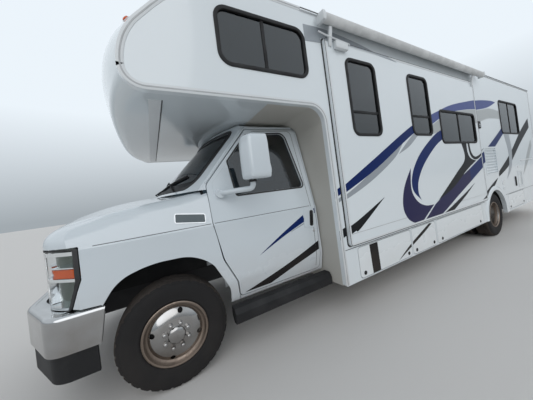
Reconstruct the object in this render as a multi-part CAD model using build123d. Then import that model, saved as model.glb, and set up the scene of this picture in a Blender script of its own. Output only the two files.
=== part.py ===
from build123d import *

import math
import os

# A motorhome on a cutaway van chassis, in millimetres. X runs forwards, Y to the vehicle's left and
# Z up. The origin is on the ground under the middle of the overall box. Stations along the vehicle
# are given from the front axle with ax().

# Driving dimensions
FRONT_AXLE = 3600
WHEELBASE = 5200
REAR_AXLE = FRONT_AXLE - WHEELBASE
TYRE_R = 372
FRONT_TRACK = 870
DUAL_INNER = 852
DUAL_OUTER = 1118
KINGPIN_Y = 800

COACH_HALF = 1257
WALL = 45
SKIRT_Z = 337
FLOOR_TOP = 715
FLOOR_LOW = 660
BUNK_Z = 1995
ROOF_Z = 2890
COACH_REAR = -4432

SLIDE_X0 = FRONT_AXLE - 4730
SLIDE_X1 = FRONT_AXLE - 1490
SLIDE_Z0 = 690
SLIDE_Z1 = 2640
SLIDE_FACE = 1292
SLIDE_LAP = 45
SLIDE_DEPTH = 780
TUBE_LIMIT = 1390
TOPPER_R = 42
TOPPER_Y = TUBE_LIMIT - TOPPER_R - 2
AWNING_R = 55

CAB_WALL = 50
SHEET = 18
TAIL_SHEET = 14
GAP = 6
BELT_Z = 1100
SILL_Z = 1300
SCREEN_R = 2200
SCREEN_BASE = (0, 1385)
CAB_BACK = 1385
NOSE_BACK = -345
DOOR_INNER = 745
DOOR_SKIN = 14
LEDGE_Z = 1086
LEDGE_H = 12


def ax(x):
    """A station x millimetres ahead of the front axle."""
    return FRONT_AXLE + x


# Outlines and prisms
def outline(*corners):
    """A closed face from corners (u, v) or (u, v, radius), rounded by arcs."""
    ends = []
    for i, corner in enumerate(corners):
        p = Vector(corner[0], corner[1])
        radius = corner[2] if len(corner) > 2 else 0
        if not radius:
            ends.append((p, None, p))
            continue
        before = corners[i - 1]
        after = corners[(i + 1) % len(corners)]
        a = (Vector(before[0], before[1]) - p).normalized()
        b = (Vector(after[0], after[1]) - p).normalized()
        half = math.acos(max(-1, min(1, a.dot(b)))) / 2
        along = radius / math.tan(half)
        centre = p + (a + b).normalized() * (radius / math.sin(half))
        middle = centre + (p - centre).normalized() * radius
        ends.append((p + a * along, middle, p + b * along))
    edges = []
    for i, (start, middle, end) in enumerate(ends):
        if middle is not None:
            edges.append(ThreePointArc(start, middle, end))
        following = ends[(i + 1) % len(ends)][0]
        if (following - end).length > 0.01:
            edges.append(Line(end, following))
    return make_face(edges)


def side_prism(face, y0, y1):
    """An outline in X and Z, carried from y0 to y1."""
    return extrude(Plane.XZ.offset(-y1) * face, amount=y1 - y0)


def plan_prism(face, z0, z1):
    """An outline in X and Y, carried from z0 to z1."""
    return extrude(Plane.XY.offset(z0) * face, amount=z1 - z0)


def front_prism(face, x0, x1):
    """An outline in Y and Z, carried from x0 to x1."""
    return extrude(Plane.YZ.offset(x0) * face, amount=x1 - x0)


def block(x0, x1, y0, y1, z0, z1):
    return Pos((x0 + x1) / 2, (y0 + y1) / 2, (z0 + z1) / 2) * Box(x1 - x0, y1 - y0, z1 - z0)


def rect(u0, u1, v0, v1, radius=0):
    return outline((u0, v0, radius), (u1, v0, radius), (u1, v1, radius), (u0, v1, radius))


def mirrored(shape):
    return mirror(shape, about=Plane.XZ)


def both(shape):
    """A left piece and its twin on the right, as one node."""
    return Compound([*shape.solids(), *mirrored(shape).solids()])


def rod_y(x, z, radius, y0, y1):
    return Pos(x, (y0 + y1) / 2, z) * Rot(90, 0, 0) * Cylinder(radius, y1 - y0)


def rod_x(y, z, radius, x0, x1):
    return Pos((x0 + x1) / 2, y, z) * Rot(0, 90, 0) * Cylinder(radius, x1 - x0)


def ring_y(x, y, z, profile):
    """A turned piece about a line along Y through (x, y, z), from (radius, offset outwards) corners."""
    face = Plane.XY * outline(*profile)
    turned = revolve(face, axis=Axis.Y)
    return Pos(x, y, z) * turned


NODES = {}
CRUMB = 500


def keep(name, *shapes):
    """Store one node, made of the solids of one or more shapes, without the crumbs that cuts leave."""
    solids = []
    for shape in shapes:
        solids += [solid for solid in shape.solids() if solid.volume > CRUMB]
    if name in NODES:
        solids += NODES[name].solids()
    NODES[name] = Compound(solids) if len(solids) > 1 else solids[0]


# Cab envelope
def cab_section(inset, roof=1972):
    """The cab's cross-section, with tumblehome above the belt."""
    half = [
        (955 - inset, 430, 40),
        (1000 - inset, 620, 200),
        (996 - inset, 800, 300),
        (990 - inset, LEDGE_Z, 6),
        (982 - inset, LEDGE_Z + LEDGE_H, 6),
        (942 - inset, SILL_Z, 500),
        (812 - inset, 1900, 60),
        (740 - inset, roof - inset, 60),
    ]
    left = [(-y, z, r) for y, z, r in reversed(half)]
    return outline(*half, *left)


def screen_cylinder(inset):
    """The windscreen's cylinder, leaning back at 45 degrees."""
    lean = math.sqrt(0.5)
    x = ax(SCREEN_BASE[0]) - SCREEN_R * lean
    z = SCREEN_BASE[1] - SCREEN_R * lean
    plane = Plane(origin=(x, 0, z), x_dir=(0, 1, 0), z_dir=(-lean, 0, lean))
    return plane * Cylinder(SCREEN_R - inset, 3600)


def cab_envelope(inset):
    body = front_prism(cab_section(inset), ax(-CAB_BACK - inset), ax(-300 - inset))
    upper = front_prism(cab_section(inset), ax(-300 - inset), ax(40))
    upper = upper & block(ax(-310), ax(50), -1100, 1100, 1370, 2000)
    return (body + upper) & screen_cylinder(inset)


# Nose sections as x from the axle, fender half width, belt half width, ledge under the belt,
# upper side (y, z, radius), shoulder (y, z, radius) and centre height
NOSE_SECTIONS = [
    (NOSE_BACK, 1000, 982, 8, 952, 1230, 600, 905, 1372, 110, 1418),
    (50, 999, 978, 8, 945, 1200, 400, 880, 1316, 130, 1372),
    (420, 985, 956, 6, 940, 1160, 200, 850, 1262, 130, 1328),
    (620, 962, 925, 2, 915, 1150, 80, 800, 1222, 150, 1270),
    (830, 930, 890, 1.5, 885, 1135, 45, 700, 1175, 200, 1200),
]

# The leading edge rolls over in steps of height and distance back from the front
LEADING_EDGE = [(1108, 0), (1148, 6), (1184, 24), (1216, 60), (1244, 115), (1270, 170), (1300, 225), (1440, 400)]


def nose_section(row, inset):
    x, fender, belt, ledge, upper_y, upper_z, upper_r, shoulder_y, shoulder_z, shoulder_r, top = row
    half = [
        (fender - 45 - inset, 430, 40),
        (fender - inset, 620, 200),
        (fender - 4 - inset, 800, 300),
        (belt + ledge - inset, LEDGE_Z - inset, 6),
        (belt - inset, LEDGE_Z + LEDGE_H - inset, 6),
        (upper_y - inset, upper_z - inset, upper_r),
        (shoulder_y - inset, shoulder_z - inset, shoulder_r),
        (300, top - inset, 900),
    ]
    left = [(-y, z, r) for y, z, r in reversed(half)]
    return Plane.YZ.offset(ax(x)) * outline(*half, *left)


def nose_plan(back):
    """The nose seen from above: a bowed front and swept corners, drawn in by a distance back."""
    half = [
        (ax(-400), 1100),
        (ax(430 - back), 1100, 20),
        (ax(480 - back), 985 - 0.6 * back, 200),
        (ax(690 - back), 800 - 0.8 * back, 260 - 0.3 * back),
        (ax(788 - back), 330 - 0.3 * back, 700 - back),
    ]
    right = [(c[0], -c[1], *c[2:]) for c in reversed(half)]
    return outline(*half, *right)


def nose_front(inset):
    """Everything behind the nose's front face and its rolled-over leading edge."""
    low_edge = LEADING_EDGE[0][0] - inset
    rolled = loft([Plane.XY.offset(z - inset) * nose_plan(back + inset) for z, back in LEADING_EDGE])
    return plan_prism(nose_plan(inset), 380, low_edge) + rolled


def nose_envelope(inset):
    return loft([nose_section(row, inset) for row in NOSE_SECTIONS]) & nose_front(inset)


# Headlamp seen from the side: a knuckled rear edge, narrower at the foot
def lamp_side(grow):
    g = grow
    return outline(
        (ax(482 - g), 1100 + g, 10),
        (ax(480 - g), 906),
        (ax(550 - g), 722 - g, 10),
        (ax(900), 722 - g),
        (ax(900), 1100 + g),
    )


WHEEL_ARCH = outline(
    (ax(-428), 300),
    (ax(-424), 560, 160),
    (ax(-300), 810, 120),
    (ax(-150), 898, 160),
    (ax(110), 908, 160),
    (ax(300), 850, 140),
    (ax(392), 715, 30),
    (ax(470), 640),
    (ax(470), 300),
)


def cab_door_outline(grow):
    """The driver's door: a swept front edge that follows the wheel arch and windscreen pillar."""
    g = grow
    return outline(
        (ax(-505 + g), 470 - g, 30),
        (ax(-494 + g), 600, 120),
        (ax(-402 + g), 800, 200),
        (ax(-350 + g), BELT_Z, 250),
        (ax(-346 + g), 1410, 60),
        (ax(-800 + g), 1915 + g, 60),
        (ax(-1362 - g), 1935 + g, 40),
        (ax(-1372 - g), 1120, 300),
        (ax(-1352 - g), 470 - g, 40),
    )


CAB_WINDOW = outline(
    (ax(-590), SILL_Z, 15),
    (ax(-566), 1600, 15),
    (ax(-790), 1850, 40),
    (ax(-1218), 1872, 70),
    (ax(-1300), SILL_Z, 30),
)


def fender_tail_zone(grow):
    """Behind the nose sections the fender follows the wheel arch down to the door gap."""
    g = grow
    tail = outline(
        (ax(NOSE_BACK), LEDGE_Z - 16 + g),
        (ax(NOSE_BACK), 430 - g),
        (ax(-505 + GAP - g), 430 - g),
        (ax(-494 + 2 * GAP - g), 600, 120),
        (ax(-402 + 2 * GAP - g), 800, 200),
        (ax(-353 - g), LEDGE_Z - 16 + g),
    )
    zone = side_prism(tail, 700, 1100)
    return zone + mirrored(zone)


def build_cab():
    shell = cab_envelope(0) - cab_envelope(CAB_WALL)
    floor = block(ax(-CAB_BACK), ax(-300), -702, 702, 655, 690)
    floor = floor + block(ax(-CAB_BACK), ax(-300), 690, 702, 470, 690)
    floor = floor + block(ax(-CAB_BACK), ax(-300), -702, -690, 470, 690)
    firewall = front_prism(cab_section(40), ax(-340), ax(-300)) & block(
        ax(-340), ax(-300), -1000, 1000, 470, 1345
    )
    tunnel = block(ax(-1600), ax(-200), -690, 690, 380, 655)
    shell = shell - block(ax(-CAB_BACK - 5), ax(-1300), -700, 700, 560, 2100)
    shell = shell - block(ax(NOSE_BACK), ax(60), -1100, 1100, 380, 1372)
    shell = shell + floor + firewall - tunnel
    door_hole = side_prism(cab_door_outline(GAP), DOOR_INNER, 1100)
    shell = shell - door_hole - mirrored(door_hole)
    screen_hole = front_prism(
        outline(
            (-800, 1425, 60), (800, 1425, 60), (716, 1905, 80), (-716, 1905, 80)
        ),
        ax(-1000),
        ax(60),
    )
    glass = (screen_cylinder(8) - screen_cylinder(16)) & screen_hole
    glass = glass & block(ax(-900), ax(60), -900, 900, 1300, 2000)
    keep("body_glass", glass)
    screen_cut = screen_hole & block(ax(-900), ax(60), -900, 900, 1300, 2000)
    shell = shell - screen_cut - nose_envelope(0)
    wheel_room = side_prism(offset(WHEEL_ARCH, amount=28), 514, 1100)
    shell = shell - wheel_room - mirrored(wheel_room)
    keep("cab_shell", shell - (fender_tail_zone(GAP) - cab_envelope(SHEET + GAP)))

    cabin = front_prism(cab_section(CAB_WALL), ax(-1500), ax(100))
    panel = (cab_envelope(0) - cabin) & side_prism(cab_door_outline(0), DOOR_INNER, 1100)
    step = cab_envelope(DOOR_SKIN) - side_prism(cab_door_outline(-2 * GAP), 0, 1100)
    window = side_prism(CAB_WINDOW, 700, 1100)
    panel = panel - step - window
    pane = (cab_envelope(16) - cab_envelope(24)) & window
    keep("cab_door_left", panel)
    keep("cab_door_right", mirrored(panel))
    keep("cab_glass_left", pane)
    keep("cab_glass_right", mirrored(pane))


def build_nose():
    shell = nose_envelope(0) - nose_envelope(SHEET)
    shell = shell - block(ax(-400), ax(-300), -900, 900, 380, 1500)
    hood_plan = outline(
        (ax(75), 0),
        (ax(50), 430, 700),
        (ax(-140), 836),
        (ax(430), 790, 300),
        (ax(690), 720, 60),
        (ax(900), 650),
        (ax(900), -650),
        (ax(690), -720, 60),
        (ax(430), -790, 300),
        (ax(-140), -836),
        (ax(50), -430, 700),
    )
    hood_zone = plan_prism(hood_plan, 1112, 1600)
    keep("hood", shell & hood_zone)
    wider = plan_prism(offset(hood_plan, amount=GAP), 1112 - GAP, 1600)
    lamp_open = side_prism(lamp_side(GAP), -1100, 1100)
    fenders = shell - wider - lamp_open
    arch = side_prism(WHEEL_ARCH, 500, 1100)
    fenders = fenders - arch - mirrored(arch)
    low = side_prism(
        outline((ax(340), 300), (ax(900), 300), (ax(900), 745), (ax(340), 728)), -1100, 1100
    )
    fenders = fenders - low
    tail = (cab_envelope(0) - cab_envelope(TAIL_SHEET)) & fender_tail_zone(0)
    tail = tail - arch - mirrored(arch)
    door_hole = side_prism(cab_door_outline(GAP), DOOR_INNER, 1100)
    keep("fenders", fenders + (tail - door_hole - mirrored(door_hole)))

    lamp = (nose_envelope(3) - plan_prism(nose_plan(70), 300, 1200)) & side_prism(lamp_side(0), 566, 1100)
    keep("lamps", both(lamp))
    frame = nose_envelope(2) - plan_prism(nose_plan(45), 300, 1200)
    frame = frame & block(ax(476), ax(900), -560, 560, 736, 1100)
    opening_heights = [(762, 846), (874, 958), (986, 1070)]
    for low_z, high_z in opening_heights:
        frame = frame - front_prism(rect(-530, 530, low_z, high_z, 18), ax(400), ax(900))
    keep("grille", frame)
    support = block(ax(560), ax(600), -880, 880, 700, 1085) - block(ax(550), ax(610), -420, 420, 730, 1050)
    support = support - block(ax(500), ax(620), 600, 860, 780, 1020) - block(ax(500), ax(620), -860, -600, 780, 1020)
    core = block(ax(520), ax(590), -372, 372, 530, 1040)
    support = support & plan_prism(nose_plan(75), 300, 1200)
    keep("radiator", support + block(ax(560), ax(590), -425, 425, 735, 1045) + core)


def bumper_plan(inset, back):
    """The front bumper seen from above, wrapped round to the wheel arch."""
    half = [
        (ax(back), 984 - inset),
        (ax(655 - inset), 980 - inset, 130),
        (ax(866 - inset), 590, 260),
        (ax(880 - inset), 200, 1500),
    ]
    right = [(c[0], -c[1], *c[2:]) for c in reversed(half)]
    return outline(*half, *right)


def build_front_end():
    """Chromed bumper, black valance below it, running boards and wheel liners."""
    outer = plan_prism(bumper_plan(0, 300), 500, 722)
    outer = fillet(outer.edges().group_by(Axis.Z)[-1], 26)
    bar = outer - plan_prism(bumper_plan(42, 250), 490, 730)
    trim = side_prism(outline((ax(200), 480), (ax(418), 480), (ax(372), 740), (ax(200), 740)), -1100, 1100)
    bar = bar - trim - front_prism(rect(-430, 430, 535, 595, 20), ax(780), ax(900))
    keep("front_bumper", bar)
    valance = plan_prism(bumper_plan(16, 300), 335, 494) - plan_prism(bumper_plan(36, 250), 320, 500)
    valance = valance - block(ax(200), ax(436), -1100, 1100, 300, 520)
    keep("front_valance", valance)

    board = front_prism(
        outline((988, 362), (1020, 312, 8), (1082, 318, 12), (1084, 392, 10), (1062, 432, 12), (988, 432)),
        ax(-1392),
        ax(-408),
    )
    keep("running_boards", both(board - cab_envelope(-2)))

    grown = offset(WHEEL_ARCH, amount=26)
    inner = offset(WHEEL_ARCH, amount=12)
    liner = side_prism(grown, 532, 925) - side_prism(inner, 500, 1000)
    liner = liner + side_prism(inner, 516, 532)
    liner = liner & block(ax(-438), ax(458), 500, 1000, 655, 960)
    keep("wheel_liners", both(liner & nose_envelope(SHEET + 8)))


# Chassis
OUTRIGGERS = (ax(-1560), ax(-2900), REAR_AXLE - 900, -4100)


def build_chassis():
    rail = front_prism(
        outline((380, 480), (450, 480), (450, 650), (380, 650), (380, 642), (442, 642), (442, 488), (380, 488)),
        -4380,
        ax(690),
    )
    keep("chassis_frame", rail, mirrored(rail))
    cross_stations = [ax(640), ax(-700), ax(-2300), ax(-3900), REAR_AXLE + 700, REAR_AXLE - 700, -3400, -4300]
    for x in cross_stations:
        keep("chassis_frame", block(x - 30, x + 30, -442, 442, 545, 600))
    for x in OUTRIGGERS:
        keep("chassis_frame", both(block(x - 25, x + 25, 450, 1180, 600, 652)))
    keep("chassis_frame", *hitch_parts())
    keep("engine_block", block(ax(-240), ax(490), -290, 290, 560, 1040))

    beam = plan_prism(
        outline((ax(30), -330), (ax(92), -330), (ax(92), 420, 60), (ax(40), 764), (ax(-30), 764), (ax(30), 400, 60)),
        345,
        415,
    )
    boss = Pos(FRONT_AXLE, KINGPIN_Y, 372) * Cylinder(38, 68)
    bore = Pos(FRONT_AXLE, KINGPIN_Y, 372) * Cylinder(15, 100)
    left = beam + block(ax(-30), ax(30), 740, KINGPIN_Y, 345, 399) + boss - bore
    other = Rot(0, 0, 180) * Pos(-FRONT_AXLE, 0, 0) * left
    other = Pos(FRONT_AXLE, 0, 0) * other
    hanger = block(ax(34), ax(88), -345, -315, 415, 545) + block(ax(-88), ax(-34), 315, 345, 415, 545)
    keep("front_axle_beams", Compound([*(left + hanger).solids(), *other.solids()]))
    spring = Pos(FRONT_AXLE + 66, 520, 530) * (Cylinder(62, 228) - Cylinder(40, 240))
    keep("springs", both(spring))

    tube = rod_y(REAR_AXLE, 372, 45, -896, 896) + rod_y(REAR_AXLE, 372, 32, -1000, 1000)
    bowl = Pos(REAR_AXLE, 0, 372) * Sphere(165) & block(REAR_AXLE - 125, REAR_AXLE + 150, -200, 200, 200, 560)
    axle = tube + bowl + rod_x(0, 372, 55, REAR_AXLE, REAR_AXLE + 235)
    shaft = Pos(REAR_AXLE + 225, 0, 376) * Rot(0, -2.2, 0) * rod_x(0, 0, 42, 0, 3960)
    keep("rear_axle", axle + shaft)
    leaf = side_prism(
        outline(
            (REAR_AXLE - 680, 520), (REAR_AXLE - 676, 508), (REAR_AXLE, 425, 1500),
            (REAR_AXLE + 676, 508), (REAR_AXLE + 680, 520), (REAR_AXLE + 60, 470, 60), (REAR_AXLE - 60, 470, 60),
        ),
        480,
        556,
    )
    eyes = rod_y(REAR_AXLE - 690, 516, 24, 456, 556) + rod_y(REAR_AXLE + 690, 516, 24, 456, 556)
    keep("springs", both(leaf + eyes))
    tank = block(-3300, -2450, -180, 340, 380, 540)
    keep("fuel_tank", fillet(tank.edges().filter_by(Axis.Z), 60))
    pipe = rod_x(-240, 468, 32, -4100, ax(-600)) - rod_x(-240, 468, 28, -4140, -3900)
    keep("exhaust", pipe + rod_x(-240, 468, 72, ax(-2600), ax(-1900)))


def hitch_parts():
    """A 2-inch receiver under the rear of the frame, with its pin hole, cross tube and side plates."""
    tube = block(-4462, -4120, -32, 32, 393, 457) - block(-4470, -4100, -25.5, 25.5, 399.5, 450.5)
    tube = tube - rod_y(-4400, 425, 8.2, -50, 50)
    return [
        tube,
        both(block(-4250, -4190, 32, 450, 395, 455)),
        both(block(-4300, -4180, 450, 462, 395, 640)),
    ]


def build_rear_bumper():
    shell = block(-4480, -4386, -1212, 1212, 470, 654) - block(-4464, -4380, -1180, 1180, 486, 660)
    shell = fillet(shell.edges().filter_by(Axis.Z).filter_by(lambda e: e.center().X < -4479), 30)
    keep("rear_bumper", shell)


# Wheels
TYRE_PROFILE = [
    (207, -80), (223, -85), (241, -100), (290, -108), (347, -99), (372, -70),
    (372, 70), (347, 99), (290, 108), (241, 100), (223, 85), (207, 80),
]
FRONT_RIM = [
    (221, -97), (221, -88), (205, -84), (196, -30), (196, 55), (205, 84), (221, 88), (221, 97),
    (204, 97), (186, 62), (150, 70), (122, 92), (84, 92), (78, 118), (30, 118), (30, 78), (112, 78),
    (140, 58), (184, 46), (187, -30), (196, -97),
]
DUAL_RIM = [
    (221, -97), (221, -88), (205, -84), (196, -30), (196, 60), (205, 84), (221, 88), (221, 97),
    (208, 97), (120, 132), (90, 132), (90, 120), (116, 120), (184, 62), (187, -30), (196, -97),
]


def flipped(profile):
    return [(r, -t) for r, t in reversed(profile)]


def build_wheels():
    tyre = ring_y(FRONT_AXLE, FRONT_TRACK, TYRE_R, TYRE_PROFILE)
    rim = ring_y(FRONT_AXLE, FRONT_TRACK, TYRE_R, FRONT_RIM)
    holes = 4
    for i in range(holes):
        turn = math.radians(360 * i / holes - 8)
        rim = rim - rod_y(FRONT_AXLE + 162 * math.cos(turn), TYRE_R + 162 * math.sin(turn), 17, 900, 1000)
    inner = ring_y(REAR_AXLE, DUAL_INNER, TYRE_R, DUAL_RIM)
    outer = ring_y(REAR_AXLE, DUAL_OUTER, TYRE_R, flipped(DUAL_RIM))
    hub = ring_y(REAR_AXLE, 985, TYRE_R, [(34, -78), (90, -78), (90, 60), (58, 95), (0, 95), (0, 30), (34, 30)])
    duals = inner + outer + hub
    twin_tyres = Compound(
        [
            *ring_y(REAR_AXLE, DUAL_INNER, TYRE_R, TYRE_PROFILE).solids(),
            *ring_y(REAR_AXLE, DUAL_OUTER, TYRE_R, TYRE_PROFILE).solids(),
        ]
    )
    fork = block(ax(-36), ax(36), 842, 864, 300, 444)
    for z in (314, 430):
        fork = fork + Pos(FRONT_AXLE, KINGPIN_Y, z) * Cylinder(36, 28)
        fork = fork + block(ax(-36), ax(36), KINGPIN_Y, 850, z - 14, z + 14)
    fork = fork + Pos(FRONT_AXLE, KINGPIN_Y, 372) * Cylinder(14, 130)
    fork = fork + rod_y(FRONT_AXLE, 372, 28, 860, 966)
    arm = block(ax(-150), ax(-30), 812, 836, 302, 326)
    fork = fork + arm
    for side, turn in (("left", lambda s: s), ("right", mirrored)):
        keep(f"knuckle_{side}", turn(fork))
        keep(f"front_rim_{side}", turn(rim))
        keep(f"front_tyre_{side}", turn(tyre))
        keep(f"rear_rims_{side}", turn(duals))
        keep(f"rear_tyres_{side}", turn(twin_tyres))


# Cab fittings
def mirror_plan(inset):
    """The door mirror's head seen from above: flat at the back, crowned at the front."""
    i = inset
    return outline(
        (ax(-738 + i), 1142 + i, 14),
        (ax(-580 - i), 1142 + i, 36 - 0.5 * i),
        (ax(-546 - i), 1240, 110 - 2 * i),
        (ax(-580 - i), 1336 - i, 40 - 0.5 * i),
        (ax(-738 + i), 1336 - i, 14),
    )


def build_cab_fittings():
    levels = [(1404, 14), (1418, 3), (1500, 0), (1620, 1), (1700, 8), (1722, 24)]
    shape = loft([Plane.XY.offset(z) * mirror_plan(inset) for z, inset in levels])
    shape = shape - block(ax(-760), ax(-731), 1154, 1322, 1430, 1694)
    route = FilletPolyline(
        (ax(-446), 958, 1330), (ax(-474), 1012, 1330), (ax(-640), 1192, 1336), (ax(-640), 1192, 1415), radius=34
    )
    arm = sweep(Plane(origin=route @ 0, z_dir=route % 0) * Circle(21), path=route)
    boss = rod_y(ax(-446), 1330, 40, 915, 978)
    cover = (cab_envelope(-5) - cab_envelope(-1)) & side_prism(
        outline((ax(-560), 1312, 20), (ax(-400), 1312, 30), (ax(-392), 1420, 60), (ax(-556), 1590, 14)), 700, 1100
    )
    mirror_shape = (shape + arm + boss) - cab_envelope(-1) + cover
    keep("cab_door_left", mirror_shape)
    keep("cab_door_right", mirrored(mirror_shape))

    top = outline(
        (ax(-300 - 46), 900), (ax(-346), 1330, 30), (ax(-560), 1330, 60), (ax(-680), 1260, 60),
        (ax(-640), 1010, 60), (ax(-520), 900, 40),
    )
    dash = side_prism(top, -860, 860)
    keep("dashboard", dash & cab_envelope(CAB_WALL + 8))
    seat_side = outline(
        (ax(-780), 692), (ax(-1240), 692), (ax(-1310), 800, 30), (ax(-1378), 1480, 34), (ax(-1284), 1500, 34),
        (ax(-1200), 960, 60), (ax(-720), 930, 50), (ax(-725), 800, 30),
    )
    seats = both(side_prism(seat_side, 250, 740))
    keep("cab_seats", seats)
    wheel = Torus(185, 15) + Cylinder(55, 26)
    for a in (0, 120, 240):
        wheel = wheel + Rot(0, 0, a) * Pos(115, 0, 0) * Box(150, 26, 12)
    wheel = wheel + Pos(0, 0, -55) * Cylinder(26, 100)
    place = Pos(ax(-770), 430, 1190) * Rot(0, -62, 0)
    keep("steering_wheel", place * wheel)


# Coach body
SIDE_PROFILE = [
    (ax(-1400), SKIRT_Z, 20),
    (ax(-1400), BUNK_Z, 140),
    (ax(145), BUNK_Z, 140),
    (ax(145), 2321, 480),
    (ax(-367), ROOF_Z, 1000),
    (COACH_REAR, ROOF_Z, 70),
    (COACH_REAR, 500, 20),
    (-4270, SKIRT_Z, 60),
]
ARCH_R = 430

# Windows as x from the front axle, x, z, z, corner radius
LEFT_WINDOWS = [(-1270, -485, 2245, 2665, 85), (-7000, -5950, 1830, 2460, 70)]
RIGHT_WINDOWS = [
    (-1270, -485, 2245, 2665, 85),
    (-3700, -2700, 1560, 2240, 70),
    (-5150, -4550, 1830, 2300, 70),
    (-7300, -6250, 1700, 2300, 70),
]
SLIDE_WINDOWS = [(-2165, -1740, 1735, 2485, 70), (-3230, -2790, 1750, 2480, 70), (-4600, -3480, 1645, 2090, 60)]

# Baggage doors as name, side, x from the front axle, x, z, z
BAGGAGE_DOORS = [
    ("front", "left", -2495, -1600, 345, 652),
    ("middle", "left", -3060, -2515, 345, 652),
    ("centre", "left", -4560, -3085, 345, 652),
    ("rear", "left", -6760, -5820, 366, 652),
    ("rear", "right", -7200, -5820, 366, 652),
]
LID = 25
LID_GAP = 7
BOX_TOP = 596
BOX_BACK = 700
BOX_SHEET = 12
FLARE_R = 505
FLARE_Y = 1272
VENT = (-5500, -4950, 1080, 1570)
VENT_RIM = 26
VENT_PROUD = 5
VENT_SLATS = 9
ENTRY = (-2330, -1690, 430, 2340)


def arch_cut(y0, y1, radius):
    """The rear wheel's opening: round over the tyre, straight below the axle."""
    round_part = rod_y(REAR_AXLE, TYRE_R, radius, y0, y1)
    return round_part + block(REAR_AXLE - radius, REAR_AXLE + radius, y0, y1, 200, TYRE_R)


def window_cuts(rows, y0, y1, grow=0):
    cuts = []
    for x0, x1, z0, z1, radius in rows:
        face = rect(ax(x0) - grow, ax(x1) + grow, z0 - grow, z1 + grow, radius)
        cuts += side_prism(face, y0, y1).solids()
    return cuts


def louvred_vent(x0, x1, z0, z1):
    """A raised frame round a recess, and the sloping slats that fill it, for the outer wall."""
    frame = side_prism(rect(x0, x1, z0, z1, 18), COACH_HALF - 1, COACH_HALF + VENT_PROUD)
    frame = frame - side_prism(rect(x0 + VENT_RIM, x1 - VENT_RIM, z0 + VENT_RIM, z1 - VENT_RIM, 8), 1200, 1300)
    pitch = (z1 - z0 - 2 * VENT_RIM) / VENT_SLATS
    for i in range(VENT_SLATS):
        z = z0 + VENT_RIM + pitch * (i + 0.5)
        slat = Pos((x0 + x1) / 2, COACH_HALF - 4, z) * Rot(-50, 0, 0) * Box(x1 - x0 - 2 * VENT_RIM + 4, 26, 3)
        frame = frame + slat
    return frame


def baggage_box(x0, x1, z0):
    """A compartment of five plates, open to the side, under the floor's cross members."""
    low_y, high_y = BOX_BACK, COACH_HALF - WALL - 2
    t = BOX_SHEET
    return Compound(
        [
            block(x0, x1, low_y, high_y, z0, z0 + t),
            block(x0, x1, low_y, high_y, BOX_TOP - t, BOX_TOP),
            block(x0, x1, low_y, low_y + t, z0 + t, BOX_TOP - t),
            block(x0, x0 + t, low_y + t, high_y, z0 + t, BOX_TOP - t),
            block(x1 - t, x1, low_y + t, high_y, z0 + t, BOX_TOP - t),
        ]
    )


def arch_flare():
    """The moulded lip round a rear wheel's opening, straight below the axle."""
    ring = Pos(REAR_AXLE, 0, TYRE_R) * revolve(
        Plane.XY * outline(
            (ARCH_R, COACH_HALF), (ARCH_R, FLARE_Y, 5), (FLARE_R - 30, FLARE_Y, 12), (FLARE_R, COACH_HALF + 2, 2),
            (FLARE_R, COACH_HALF),
        ),
        axis=Axis.Y,
    )
    upper = ring & block(REAR_AXLE - 600, REAR_AXLE + 600, 1200, 1400, TYRE_R, 1000)
    leg = plan_prism(
        outline(
            (REAR_AXLE + ARCH_R, COACH_HALF), (REAR_AXLE + ARCH_R, FLARE_Y, 5),
            (REAR_AXLE + FLARE_R - 30, FLARE_Y, 12), (REAR_AXLE + FLARE_R, COACH_HALF + 2, 2),
            (REAR_AXLE + FLARE_R, COACH_HALF),
        ),
        SKIRT_Z,
        TYRE_R,
    )
    other = Pos(2 * REAR_AXLE, 0, 0) * mirror(leg, about=Plane.YZ)
    return upper + leg + other


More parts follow.
